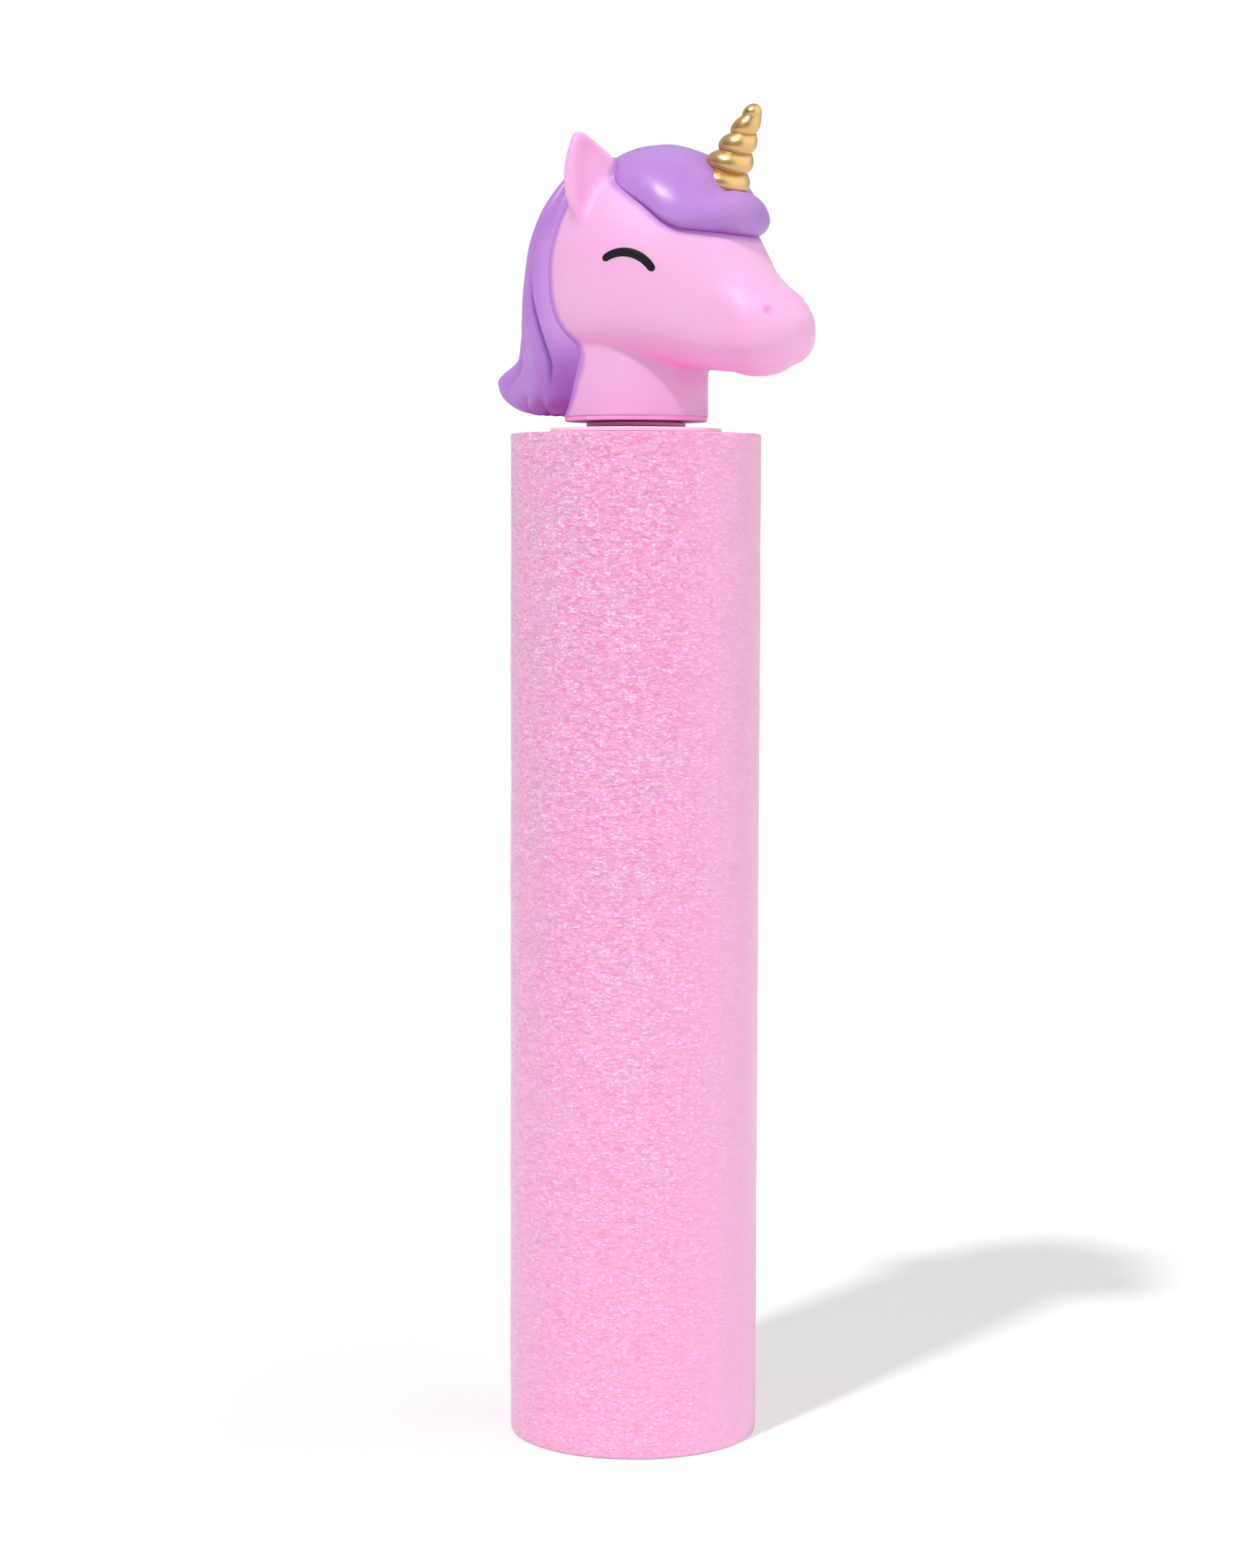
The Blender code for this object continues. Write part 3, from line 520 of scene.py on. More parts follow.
def makeNozzleCap():
    low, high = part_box("nozzle_cap")
    flangeTop = low.z + caps["nozzleFlangeThick"]
    floor = low.z + caps["nozzleFloor"]
    ringIn = caps["ringRadius"] - caps["ringWidth"] / 2
    ringOut = caps["ringRadius"] + caps["ringWidth"] / 2
    return turned("nozzleCap", eased([
        (caps["nozzleCup"], high.z),
        (caps["spigotRadius"], high.z, 1),
        (caps["spigotRadius"], flangeTop),
        (caps["flangeRadius"], flangeTop, 1),
        (caps["flangeRadius"], low.z, 1),
        (ringOut, low.z, 0.5),                       # a moulded ring round the jet
        (ringOut, low.z + caps["ringDepth"]),
        (ringIn, low.z + caps["ringDepth"]),
        (ringIn, low.z, 0.5),
        (caps["jetMouth"], low.z, 1),
        (caps["jetRadius"], low.z + caps["jetMouthDepth"], 1),
        (caps["jetRadius"], floor, 1),
        (caps["nozzleCup"], floor),
    ], caps["edgeEase"]))


# injection-moulded plastic: faint flow marks and a fine grain

moulded = {
    "flowSize": 7 * mm,
    "flowLength": 0.35,                  # the marks run up and down
    "flowRange": (0.25, 0.75),
    "flowRelief": 0.3,
    "hazeSize": 2.2 * mm,
    "hazeRoughness": 0.1,
    "pitSize": 0.28 * mm,
    "pitDepth": 0.02 * mm,
    "pitStrength": 0.35,
}


def mouldedFinish(name, colour, shade, roughness):
    finish = Finish(name)
    along = finish.stretched(finish.here, (1, 1, moulded["flowLength"]))
    flow = finish.cloud(along, moulded["flowSize"], detail=3)
    pits = finish.cloud(finish.here, moulded["pitSize"])
    haze = finish.cloud(finish.here, moulded["hazeSize"], detail=3)
    relief = pits + flow * moulded["flowRelief"]
    finish.surface({
        "Base Color": finish.mix(finish.ramp(flow, *moulded["flowRange"]), shade, colour),
        "Roughness": roughness + moulded["hazeRoughness"] * (haze - 0.5),
        "Normal": finish.bump(relief, moulded["pitDepth"], moulded["pitStrength"]),
    })
    return finish


# plunger: rod, stop collar and the insert that carries the head

plunger = {
    "rodRadius": 8.85 * mm,
    "rodWall": 1.8 * mm,
    "edgeEase": 0.25 * mm,
    "collarBore": 9.15 * mm,
    "lipRadius": 17.0 * mm,
    "plugRadius": 14.7 * mm,
    "socketRadius": 9.15 * mm,
    "socketRoof": 2.0 * mm,
    "rodColour": tone(248, 136, 192),
    "rodShade": tone(240, 122, 180),
    "collarColour": tone(252, 156, 206),
    "collarShade": tone(246, 142, 196),
    "rodRoughness": 0.3,
    "collarRoughness": 0.34,
    "insertRoughness": 0.4,
}


def makePlungerRod():
    low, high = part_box("plunger_rod")
    bore = plunger["rodRadius"] - plunger["rodWall"]
    return turned("plungerRod", eased([
        (bore, high.z),
        (plunger["rodRadius"], high.z, 1),
        (plunger["rodRadius"], low.z, 1),
        (bore, low.z),
    ], plunger["edgeEase"]))


def makeRodCollar():
    low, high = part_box("rod_collar")
    outside = (high.x - low.x) / 2
    return turned("rodCollar", eased([
        (plunger["collarBore"], high.z),
        (outside, high.z, 1),
        (outside, low.z, 1),
        (plunger["collarBore"], low.z),
    ], plunger["edgeEase"]))


def makeNeckInsert():
    low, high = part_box("neck_insert")
    return turned("neckInsert", eased([
        (0, high.z),
        (plunger["plugRadius"], high.z, 1),
        (plunger["plugRadius"], neckFoot),
        (plunger["lipRadius"], neckFoot, 0.3),
        (plunger["lipRadius"], low.z, 1),
        (plunger["socketRadius"], low.z, 1),
        (plunger["socketRadius"], high.z - plunger["socketRoof"]),
        (0, high.z - plunger["socketRoof"]),
    ], plunger["edgeEase"]))


# head: soft vinyl, melted from a skull with a muzzle, a chin, a neck and two ears
# heights count from the neck's foot and reaches from the barrel's axis, in millimetres

head = {
    # forward, top, underside, half width
    "skull": (
        (-21.5, 43.0, 27.0, 8.0),
        (-18.5, 48.8, 20.0, 13.0),
        (-13.5, 53.8, 15.0, 17.3),
        (-6.0, 58.0, 12.2, 21.0),
        (3.0, 60.3, 11.6, 22.5),
        (11.0, 59.0, 11.3, 21.8),
        (18.0, 56.0, 10.9, 20.0),
        (24.0, 51.0, 10.4, 17.6),
        (29.06, 44.0, 10.0, 15.2),
        (33.02, 36.5, 10.4, 14.4),
        (36.98, 31.8, 10.7, 14.4),
        (40.94, 28.8, 11.9, 12.5),
        (44.24, 25.2, 14.2, 8.2),
        (46.0, 22.0, 17.2, 4.0),
    ),
    "browFullness": 2.2,
    "cheekFullness": 2.9,
    "waist": 0.48,
    "chinAt": (33.5, 0, 13.7),
    "chinRadii": (8.5, 10.0, 4.8),
    "chinSteps": 5,
    "neckRadius": 17.2,
    "neckHeight": 24.0,
    "neckEase": 0.12,
    "neckTrim": 0.02,                    # leaves the neck's wall out of the cut
    "neckSides": 160,
    "footSides": 192,
    "neckBore": 15.0,
    "boreDepth": 15.6,
    "nostrilAt": (42.0, 23.4),
    "nostrilRadius": 1.9,
    "nostrilDepth": 0.9,
    "voxel": 0.5,
    "spareVoxels": 6,                    # extra neck that is cut off after the melt
    "smoothing": 16,
    "sharpFrom": radians(55),
    "room": 80.0,                        # how far a box round the whole head reaches
    "beside": 60.0,                      # well outside the head, from where rays are cast at it
}

ears = {
    # share of the height, outer rim, inner rim
    "stations": (
        (0.0, -1.0, 2.5),
        (0.12, -2.4, 5.2),
        (0.31, -3.8, 9.2),
        (0.5, -4.1, 10.4),
        (0.68, -3.4, 9.4),
        (0.84, -2.2, 5.7),
        (0.94, -1.4, 3.0),
        (1.0, -0.7, 1.2),
    ),
    "root": (-2.4, -20.5, 45.0),
    "tip": (-3.2, -21.0, 65.6),
    "facing": (0.80, -0.58, 0.15),
    "rim": 3.2,
    "rimFlatness": 1.4,
    "scoop": 3.6,
    "cup": 2.0,
    "back": 4.4,
    "thinFrom": 5.0,
    # where the ears run out into the head: forward, beside the middle and up
    "rootForward": (-22.0, -18.0, 8.0, 12.0),
    "rootBeside": (9.0, 12.0, 26.0, 28.0),
    "rootUp": (34.0, 40.0, 54.0, 66.0),
    "rootSteps": 26,
}


def onHead(points):
    # head millimetres to the frame's metres
    return np.asarray(points) * mm + np.array((axisX, 0, neckFoot))


def skullRings(levels=90, sides=110):
    turns = aroundRing(sides)
    upper = np.sin(turns) >= 0
    browSide, browRise = rounded(turns, head["browFullness"])
    cheekSide, cheekRise = rounded(turns, head["cheekFullness"])
    side, rise = np.where(upper, browSide, cheekSide), np.where(upper, browRise, cheekRise)
    rings = []
    for forward in np.linspace(head["skull"][0][0], head["skull"][-1][0], levels):
        top, under, half = curveAt(head["skull"], forward)
        waist = under + head["waist"] * (top - under)
        tall = waist + np.where(upper, top - waist, waist - under) * rise
        rings.append(np.stack((np.full(sides, forward), half * side, tall), axis=-1))
    return onHead(rings)


def earRings(mirror, levels=48, sides=64):
    root, tip = Vector(ears["root"]), Vector(ears["tip"])
    up = (tip - root).normalized()
    facing = Vector(ears["facing"])
    facing = (facing - facing.dot(up) * up).normalized()
    across = up.cross(facing)
    turns = aroundRing(sides)
    side = np.cos(turns)
    hollow = 1 - side * side
    rings = []
    for share in np.linspace(0, 1, levels):
        outer, inner = curveAt(ears["stations"], share)
        middle, half = (inner + outer) / 2, (inner - outer) / 2
        depth = min(1.0, half / ears["thinFrom"])
        rim = ears["rim"] * sqrt(depth) * np.abs(np.sin(turns)) ** ears["rimFlatness"]
        front = rim - depth * ears["scoop"] * hollow ** ears["cup"]
        back = -rim - depth * ears["back"] * hollow
        forward = np.where(np.sin(turns) >= 0, front, back)
        points = np.array(root.lerp(tip, share)) + np.outer(middle + half * side, across)
        points = points + np.outer(forward, facing)
        points[:, 1] *= mirror
        rings.append(points)
    return onHead(rings)


def makeHeadSkin():
    skin = loft("headSkin", skullRings())
    shape = bmesh.new()
    shape.from_mesh(skin.data)
    for mirror in (1, -1):
        ear = loft("ear", earRings(mirror))
        shape.from_mesh(ear.data)
        bpy.data.objects.remove(ear, do_unlink=True)
    chin = Matrix.LocRotScale(Vector(onHead(head["chinAt"])), None, Vector(head["chinRadii"]) * mm)
    bmesh.ops.create_icosphere(shape, subdivisions=head["chinSteps"], radius=1.0, matrix=chin)
    neck, ease, trim = head["neckRadius"] * mm, head["neckEase"] * mm, head["neckTrim"] * mm
    spare = head["spareVoxels"] * head["voxel"]
    middle = onHead((0, 0, (head["neckHeight"] - spare) / 2))
    bmesh.ops.create_cone(
        shape, cap_ends=True, segments=head["neckSides"], radius1=neck, radius2=neck,
        depth=(head["neckHeight"] + spare) * mm, matrix=Matrix.Translation(middle),
    )
    shape.to_mesh(skin.data)
    shape.free()
    melt = skin.modifiers.new("melt", "REMESH")
    melt.mode = "VOXEL"
    melt.voxel_size = head["voxel"] * mm
    soften = skin.modifiers.new("soften", "SMOOTH")
    soften.iterations = head["smoothing"]
    workedOut(skin)
    softenEarRoots(skin)
    # the foot of the neck is cut flat with a rounded edge
    far, crown = head["room"] * mm, neckFoot + head["room"] * mm
    room = turned("room", eased([
        (0, crown),
        (far, crown),
        (far, neckFoot + 3 * ease),
        (neck + ease, neckFoot + 2 * ease),
        (neck + trim, neckFoot + ease),
        (neck + trim, neckFoot, 1),
        (0, neckFoot),
    ], ease), head["footSides"])
    combined(skin, room, "INTERSECT")
    bore, roof = head["neckBore"] * mm, neckFoot + head["boreDepth"] * mm
    plug = turned("bore", [(0, roof), (bore, roof), (bore, neckFoot - mm), (0, neckFoot - mm)])
    combined(skin, plug, "DIFFERENCE")
    dimpleNostrils(skin)
    skin.data.set_sharp_from_angle(angle=head["sharpFrom"])
    return skin


def softenEarRoots(skin):
    # the ears run out into the head without a crease
    places = np.array([corner.co for corner in skin.data.vertices])
    forward, beside, up = (places - onHead((0, 0, 0))).T / mm
    share = between(forward, *ears["rootForward"]) * between(up, *ears["rootUp"])
    share = share * between(np.abs(beside), *ears["rootBeside"])
    soft = spreadOut(skin.data, places, ears["rootSteps"])
    places = places + (soft - places) * share[:, None]
    skin.data.vertices.foreach_set("co", places.ravel())
    skin.data.update()


def dimpleNostrils(skin):
    tree = treeOf(skin)
    forward, rise = head["nostrilAt"]
    radius = head["nostrilRadius"] * mm
    places = []
    for mirror in (1, -1):
        start = Vector(onHead((forward, mirror * head["beside"], rise)))
        places.append(tree.ray_cast(start, Vector((0, -mirror, 0)))[0])
    depths, moves = [], []
    for corner in skin.data.vertices:
        gap = min((corner.co - place).length for place in places) / radius
        depth = max(0.0, 1 - gap * gap) ** 2
        depths.append(depth)
        moves.append(corner.co - corner.normal * depth * head["nostrilDepth"] * mm)
    for corner, move in zip(skin.data.vertices, moves):
        corner.co = move
    setPaint(skin, "nostril", depths)


shadeRays = {
    "rays": 24,
    "reach": 16 * mm,
    "lift": 0.3 * mm,                    # rays start just off the surface
    "leastFacing": 0.05,
    "downShare": 0.3,
    "spreadSteps": 6,
}


def paintShade(piece, blockers):
    # how much each point is shut in by what is around it, or faces down, to be painted as shade
    corners, faces = [], []
    for blocker in blockers:
        faces += [[len(corners) + i for i in face.vertices] for face in blocker.data.polygons]
        corners += [corner.co.copy() for corner in blocker.data.vertices]
    tree = BVHTree.FromPolygons(corners, faces)
    turn = pi * (3 - sqrt(5))            # the golden angle
    ways = []
    for step in range(shadeRays["rays"]):
        up = 1 - (2 * step + 1) / shadeRays["rays"]
        flat = sqrt(1 - up * up)
        ways.append(Vector((flat * cos(turn * step), flat * sin(turn * step), up)))
    shut = []
    for corner in piece.data.vertices:
        start = corner.co + corner.normal * shadeRays["lift"]
        closed, weight = 0.0, 0.0
        for way in ways:
            facing = way.dot(corner.normal)
            if facing <= shadeRays["leastFacing"]:
                continue
            gap = tree.ray_cast(start, way, shadeRays["reach"])[3]
            weight += facing
            closed += 0 if gap is None else facing * (1 - gap / shadeRays["reach"])
        down = shadeRays["downShare"] * max(0.0, -corner.normal.z)
        shut.append(closed / max(weight, shadeRays["leastFacing"]) + down)
    setPaint(piece, "paintedShade", spreadOut(piece.data, np.array(shut), shadeRays["spreadSteps"]))


def paintGaps(skin, widths):
    # how far each point of the skin is from the painted hair, as a share of the spray's width
    trees = [(treeOf(piece), width) for piece, width in widths]
    shares = []
    for corner in skin.data.vertices:
        found = [(tree.find_nearest(corner.co, width)[3], width) for tree, width in trees]
        shares.append(min([gap / width for gap, width in found if gap is not None] + [1.0]))
    setPaint(skin, "paintGap", shares)


vinyl = {
    "skin": tone(234, 173, 217),
    # darker pink, used for random patches and for painted shade
    "blushAndShade": tone(248, 134, 214),
    "patchSize": 16 * mm,
    "patchRange": (0.35, 0.8),
    "patchTint": 0.12,
    "shadeRange": (0.08, 0.6),
    "shadeTint": 0.8,
    "earFrom": neckFoot + 46 * mm,
    "earTo": neckFoot + 54 * mm,
    "earShadeLoss": 0.3,                      # painted shade is paler in the ears
    "nostrilTint": 0.6,
    "overspray": tone(190, 122, 212),    # hair paint that strayed onto the skin
    "maneSpray": 2.2 * mm,
    "forelockSpray": 2.2 * mm,
    "sprayRange": (0.2, 1.0),
    "sprayTint": 0.9,
    "speckSize": 0.5 * mm,
    "speckShare": 0.2,
    "grainSize": 0.35 * mm,
    "rippleSize": 3 * mm,
    "rippleRelief": 2,
    "bumpDepth": 0.012 * mm,
    "bumpStrength": 0.5,
    "roughness": 0.56,
    "rippleRoughness": 0.1,
}


def vinylFinish():
    finish = Finish("softVinyl")
    patches = finish.cloud(finish.here, vinyl["patchSize"])
    grain = finish.cloud(finish.here, vinyl["grainSize"])
    ripple = finish.cloud(finish.here, vinyl["rippleSize"])
    specks = finish.cloud(finish.here, vinyl["speckSize"])
    tint = finish.ramp(patches, *vinyl["patchRange"]) * vinyl["patchTint"]
    colour = finish.mix(tint, vinyl["skin"], vinyl["blushAndShade"])
    inEar = finish.ramp(finish.axis(finish.here, "Z"), vinyl["earFrom"], vinyl["earTo"])
    # painted shade: points that are shut in or face down are painted in the darker pink
    paintedShade = finish.ramp(finish.painted("paintedShade"), *vinyl["shadeRange"])
    colour = finish.mix(paintedShade * (vinyl["shadeTint"] - vinyl["earShadeLoss"] * inEar), colour, vinyl["blushAndShade"])
    colour = finish.mix(finish.painted("nostril") * vinyl["nostrilTint"], colour, vinyl["blushAndShade"])
    edge = finish.painted("paintGap") + (specks - 0.5) * vinyl["speckShare"]
    spray = 1 - finish.ramp(edge, *vinyl["sprayRange"])
    relief = grain + ripple * vinyl["rippleRelief"]
    finish.surface({
        "Base Color": finish.mix(spray * vinyl["sprayTint"], colour, vinyl["overspray"]),
        "Roughness": vinyl["roughness"] + vinyl["rippleRoughness"] * (ripple - 0.5),
        "Specular IOR Level": 0.95,
        "Normal": finish.bump(relief, vinyl["bumpDepth"], vinyl["bumpStrength"]),
        "Subsurface Weight": 0.55,
        "Subsurface Radius": (1.0, 0.3, 0.55),
        "Subsurface Scale": 5 * mm,
    })
    return finish


# smiling eyes: thick satin paint that follows the cheek

eyes = {
    "at": (11.6, 36.9),
    "chord": 11.2,
    "rise": 2.2,
    "stroke": 2.2,
    "tilt": radians(13),
    "taper": 0.1,
    "endTrim": 0.999,                    # stops just short of the point where the ends have no width
    "proud": 0.16,
    "edgeSink": 0.03,
    "sunk": 0.3,
    "colour": tone(24, 18, 24),
    "worn": tone(36, 30, 36),
    "wornRange": (0.45, 0.8),
    "brushSize": 1.6 * mm,
    "brushFlatness": 2,
    "roughness": 0.5,
    "brushRoughness": 0.16,
    "grainSize": 0.3 * mm,
    "bumpDepth": 0.02 * mm,
    "bumpStrength": 0.4,
}


def makeEye(name, mirror, skin, levels=90, strips=17):
    tree = treeOf(skin)
    inward = Vector((0, -mirror, 0))
    lean, drop = cos(eyes["tilt"]), sin(eyes["tilt"])
    arc = (eyes["chord"] ** 2 / 4 + eyes["rise"] ** 2) / (2 * eyes["rise"])
    half, halfLength = eyes["stroke"] / 2, arc * asin(eyes["chord"] / 2 / arc)
    rings = []
    for way in np.linspace(-1, 1, levels):
        along = np.sin(way * pi / 2) * (halfLength + half * eyes["endTrim"])
        past = max(0.0, abs(along) - halfLength)
        width = sqrt(half * half - past * past) * (1 - eyes["taper"] * (along / halfLength) ** 2)
        front, back = [], []
        for across in np.linspace(-1, 1, strips):
            turn, radius = along / arc, arc + across * width
            x, z = radius * sin(turn), radius * cos(turn) - arc
            x, z = x * lean + z * drop, z * lean - x * drop
            start = Vector(onHead((eyes["at"][0] + x, mirror * head["beside"], eyes["at"][1] + z)))
            spot, normal = tree.ray_cast(start, inward)[:2]
            lift = eyes["proud"] * (1 - across ** 4) * (width / half) - eyes["edgeSink"]
            front.append(spot + normal * lift * mm)
            back.append(spot - normal * eyes["sunk"] * mm)
        rings.append(front + back[::-1])
    return loft(name, rings)


def eyeFinish():
    finish = Finish("eyePaint")
    flat = finish.stretched(finish.here, (1, 1, eyes["brushFlatness"]))
    brush = finish.cloud(flat, eyes["brushSize"], detail=3)
    grain = finish.cloud(finish.here, eyes["grainSize"])
    finish.surface({
        "Base Color": finish.mix(finish.ramp(brush, *eyes["wornRange"]), eyes["colour"], eyes["worn"]),
        "Roughness": eyes["roughness"] + eyes["brushRoughness"] * (brush - 0.5),
        "Specular IOR Level": 0.2,
        "Normal": finish.bump(grain, eyes["bumpDepth"], eyes["bumpStrength"]),
    })
    return finish


# hair: a mane of locks whose hem flips up, and a forelock rolled over the brow

mane = {
    # height, back, half width, hairline
    "stations": (
        (0.5, 21.0, 14.0, -14.0),
        (1.6, 25.5, 15.8, -12.0),
        (4.0, 27.8, 17.4, -9.8),
        (8.5, 28.8, 18.6, -8.0),
        (12.5, 29.2, 19.4, -6.8),
        (17.0, 28.8, 20.0, -8.4),
        (23.0, 27.4, 20.4, -11.4),
        (28.0, 26.5, 20.5, -13.2),
        (33.0, 25.6, 20.4, -13.6),
        (41.0, 24.1, 20.0, -12.8),
        (48.0, 21.1, 18.4, -11.8),
        (53.0, 18.0, 16.0, -10.6),
        (57.5, 14.2, 12.6, -9.0),
        (60.2, 10.6, 8.4, -6.9),
        (61.4, 8.4, 3.2, -6.2),
    ),
    "fullness": 2.2,
    "hairline": 0.8,                     # how far the hairline moves on as its edge is drawn in
    "reach": 37.2,
    "lockCrown": radians(30),
    "lockHem": radians(37.5),
    "groove": 1.6,
    "grooveSides": 0.8,                  # share of the groove that also draws the sides in
    "ridge": 5.0,
    "grooveTop": (22.0, 40.0),
    "grooveFoot": (4.0, 12.0),
    "hemGroove": 1.2,
    "hemGrooveEdge": (radians(62), radians(78)),
    "edgeRound": 2.4,
    "edgeLimit": 3,                      # at most the half width divided by this
    "tuck": 0.17,                        # share of the half width that is drawn in at the hairline
    "tuckFrom": radians(48),
    "scallop": 1.6,
    "scallopTop": 9.0,
    "hemGrooveTop": 22.0,
    "flipAngle": radians(66),
    "flipDrop": 6.7 / radians(60) ** 2,  # how the curls' tips get lower round the sides
    "curlAngle": radians(15.2),
    "curlShare": 0.45,
    "flipFullness": 4,
    "flipHeight": 8.9,
    # a band just inside the hairline, painted lighter as a highlight
    "thinEdge": (radians(68), radians(86)),
    "thinLow": (12.0, 22.0),
    "thinHigh": (38.0, 52.0),
    "flipAbove": 4.2,
    "flipBelow": 7.0,
    "crowding": 1.5,
}

forelock = {
    # forward, top, widest level, underside, half width
    "stations": (
        (-8.5, 58.8, 56.0, 54.0, 6.5),
        (-3.0, 61.8, 55.0, 52.0, 10.4),
        (4.0, 63.6, 53.6, 49.6, 15.8),
        (10.5, 63.7, 51.2, 46.4, 18.8),
        (16.0, 62.2, 49.8, 44.6, 19.2),
        (20.5, 60.2, 49.0, 43.6, 18.2),
        (24.0, 57.2, 48.0, 42.2, 16.8),
        (27.0, 53.8, 46.8, 41.0, 15.0),
        (29.6, 51.9, 46.0, 41.0, 12.0),
        (31.4, 50.6, 45.8, 42.0, 8.2),
        (32.2, 48.6, 45.8, 43.4, 4.4),
    ),
    "fullness": 1.9,
    "sweepAt": 21.0,                     # the fringe is swept lower on the head's right
    "sweepWidth": 6.5,
    "sweepSide": 0.6,
    "sweepDrop": 3.8,
    "sweepSwell": 1.2,
    "rollAt": 27.6,
    "rollWidth": 1.5,
    "rollSlant": 2.0,
    "rollDip": 1.5,
    "rollTop": (0.3, 0.8),
    "strandAt": (0.62, 0.86),            # share of the way round from the side to the top
    "strandWidth": 0.045,
    "strandDip": 0.4,
    "strandEnd": (4.0, 16.0),
}

hair = {
    "colour": tone(180, 131, 208),
    "shade": tone(174, 122, 202),
    "streak": tone(188, 142, 216),
    # painted shade where the hair is shut in or faces down
    "paintedShade": tone(150, 66, 166),
    # painted shade along the grooves between the locks
    "line": tone(112, 64, 148),
    # painted highlight just inside the mane's hairline
    "thin": tone(222, 172, 234),
    "low": tone(150, 74, 172),
    "lowFrom": 24 * mm,
    "lowTo": 3 * mm,
    "lowBack": -22 * mm,
    "lowFront": -9 * mm,
    "strandSize": 1.2 * mm,
    "strandLength": 0.08,                # the strands run up and down
    "strandRange": (0.55, 0.9),
    "strandTint": 0.2,
    "strandRelief": 1.5,
    "patchSize": 12 * mm,
    "patchRange": (0.3, 0.75),
    "grainSize": 0.35 * mm,
    "bumpDepth": 0.015 * mm,
    "bumpStrength": 0.5,
    "thinTint": 0.4,
    "shadeRange": (0.12, 0.7),
    "lineShadeRange": (0.1, 0.9),
    "lineShadeTint": 0.8,
    "roughness": 0.36,
    "strandRoughness": 0.12,
}


def makeMane(levels=130, sides=240, edgeSides=10, frontSides=30):
    stations = mane["stations"]
    foot, crown = stations[0][0], stations[-1][0]
    flipReach = mane["reach"] - curveAt(stations, mane["flipHeight"])[0]
    turns = np.linspace(-pi / 2, pi / 2, sides)
    side, rise = rounded(turns, mane["fullness"])
    parted = (1 - np.cos(2 * pi * turns / mane["curlAngle"])) / 2
    hemEdge = 1 - smooth(np.abs(turns), *mane["hemGrooveEdge"])
    rings, lines, thins = [], [], []
    for share in np.linspace(0, 1, levels):
        level = share ** mane["crowding"]
        height = foot + (crown - foot) * level
        back, half, front = curveAt(stations, height)
        front = front + mane["hairline"]
        edge = min(mane["edgeRound"], half / mane["edgeLimit"])
        lock = pi * turns / (mane["lockHem"] + (mane["lockCrown"] - mane["lockHem"]) * level)
        tipHeight = mane["flipHeight"] - mane["flipDrop"] * turns ** 2
        spread = np.where(height > tipHeight, mane["flipAbove"], mane["flipBelow"])
        offTip = ((height - tipHeight) / spread) ** 2
        offBack = (turns / mane["flipAngle"]) ** mane["flipFullness"]
        flip = np.exp(-offTip - offBack) * (1 - mane["curlShare"] * parted)
        full = smooth(height, *mane["grooveFoot"]) - smooth(height, *mane["grooveTop"])
        line = (1 - np.abs(np.sin(lock))) ** mane["ridge"] * full
        parting = max(0.0, 1 - height / mane["hemGrooveTop"])
        groove = mane["groove"] * line + mane["hemGroove"] * parted * hemEdge * parting
        reach = back + front + flipReach * flip - groove
        tuck = 1 - mane["tuck"] * smooth(np.abs(turns), mane["tuckFrom"], pi / 2) ** 2
        x, y = front - reach * side, (half - groove * mane["grooveSides"]) * rise * tuck
        lift = mane["scallop"] * parted * hemEdge * (1 - smooth(height, foot, mane["scallopTop"]))
        half = half * (1 - mane["tuck"])
        # round the front edge, then the hidden front that is sunk into the head
        curl = np.linspace(0, pi / 2, edgeSides + 1)[1:]
        edgeX = front + edge * np.sin(curl)
        edgeY = half - edge * (1 - np.cos(curl))
        parts = np.linspace(1, -1, frontSides + 2)[1:-1] * (half - edge)
        x = np.concatenate((x, edgeX, np.full(frontSides, front + edge), edgeX[::-1]))
        y = np.concatenate((y, edgeY, parts, -edgeY[::-1]))
        z = np.full(len(x), height)
        z[:sides] += lift
        rings.append(np.stack((x, y, z), axis=-1))
        hidden = len(x) - sides
        # the groove line is kept for painted shade in the groove
        lines.append(np.append(line * (1 - flip), np.zeros(hidden)))
        # a band just inside the hairline is painted lighter, as a painted highlight
        thin = smooth(height, *mane["thinLow"]) - smooth(height, *mane["thinHigh"])
        thinEdge = thin * smooth(np.abs(turns), *mane["thinEdge"])
        thins.append(np.append(thinEdge, np.full(hidden, thin)))
    piece = loft("maneLocks", onHead(rings))
    setPaint(piece, "line", np.append(np.ravel(lines), (0, 0)))
    setPaint(piece, "thin", np.append(np.ravel(thins), (0, 0)))
    return piece


def forelockRings(levels=110, sides=140):
    stations = forelock["stations"]
    turns = aroundRing(sides)
    side, rise = rounded(turns, forelock["fullness"])
    upTurn = np.arcsin(np.abs(np.sin(turns))) / (pi / 2)
    rings = []
    for share in np.linspace(0, 1, levels):
        forward = stations[0][0] + (stations[-1][0] - stations[0][0]) * sin(share * pi / 2)
        top, widest, under, half = curveAt(stations, forward)
        sweep = np.exp(-((forward - forelock["sweepAt"]) / forelock["sweepWidth"]) ** 2)
        sweep = sweep * smooth(-side, 0, forelock["sweepSide"])
        widest = widest - forelock["sweepDrop"] * sweep
        under = under - forelock["sweepDrop"] * sweep
        half = half + forelock["sweepSwell"] * sweep
        offRoll = forward - forelock["rollAt"] + forelock["rollSlant"] * np.abs(side)
        dip = forelock["rollDip"] * np.exp(-(offRoll / forelock["rollWidth"]) ** 2)
        dip = dip * smooth(rise, *forelock["rollTop"])
        for strand in forelock["strandAt"]:
            crease = np.exp(-((upTurn - strand) / forelock["strandWidth"]) ** 2)
            dip = dip + forelock["strandDip"] * crease * (1 - smooth(forward, *forelock["strandEnd"]))
        dip = np.where(rise > 0, dip, 0)
        tall = widest + np.where(rise >= 0, top - widest, widest - under) * rise - dip * rise
        rings.append(np.stack((np.full(sides, forward), (half - dip) * side, tall), axis=-1))
    return onHead(rings)


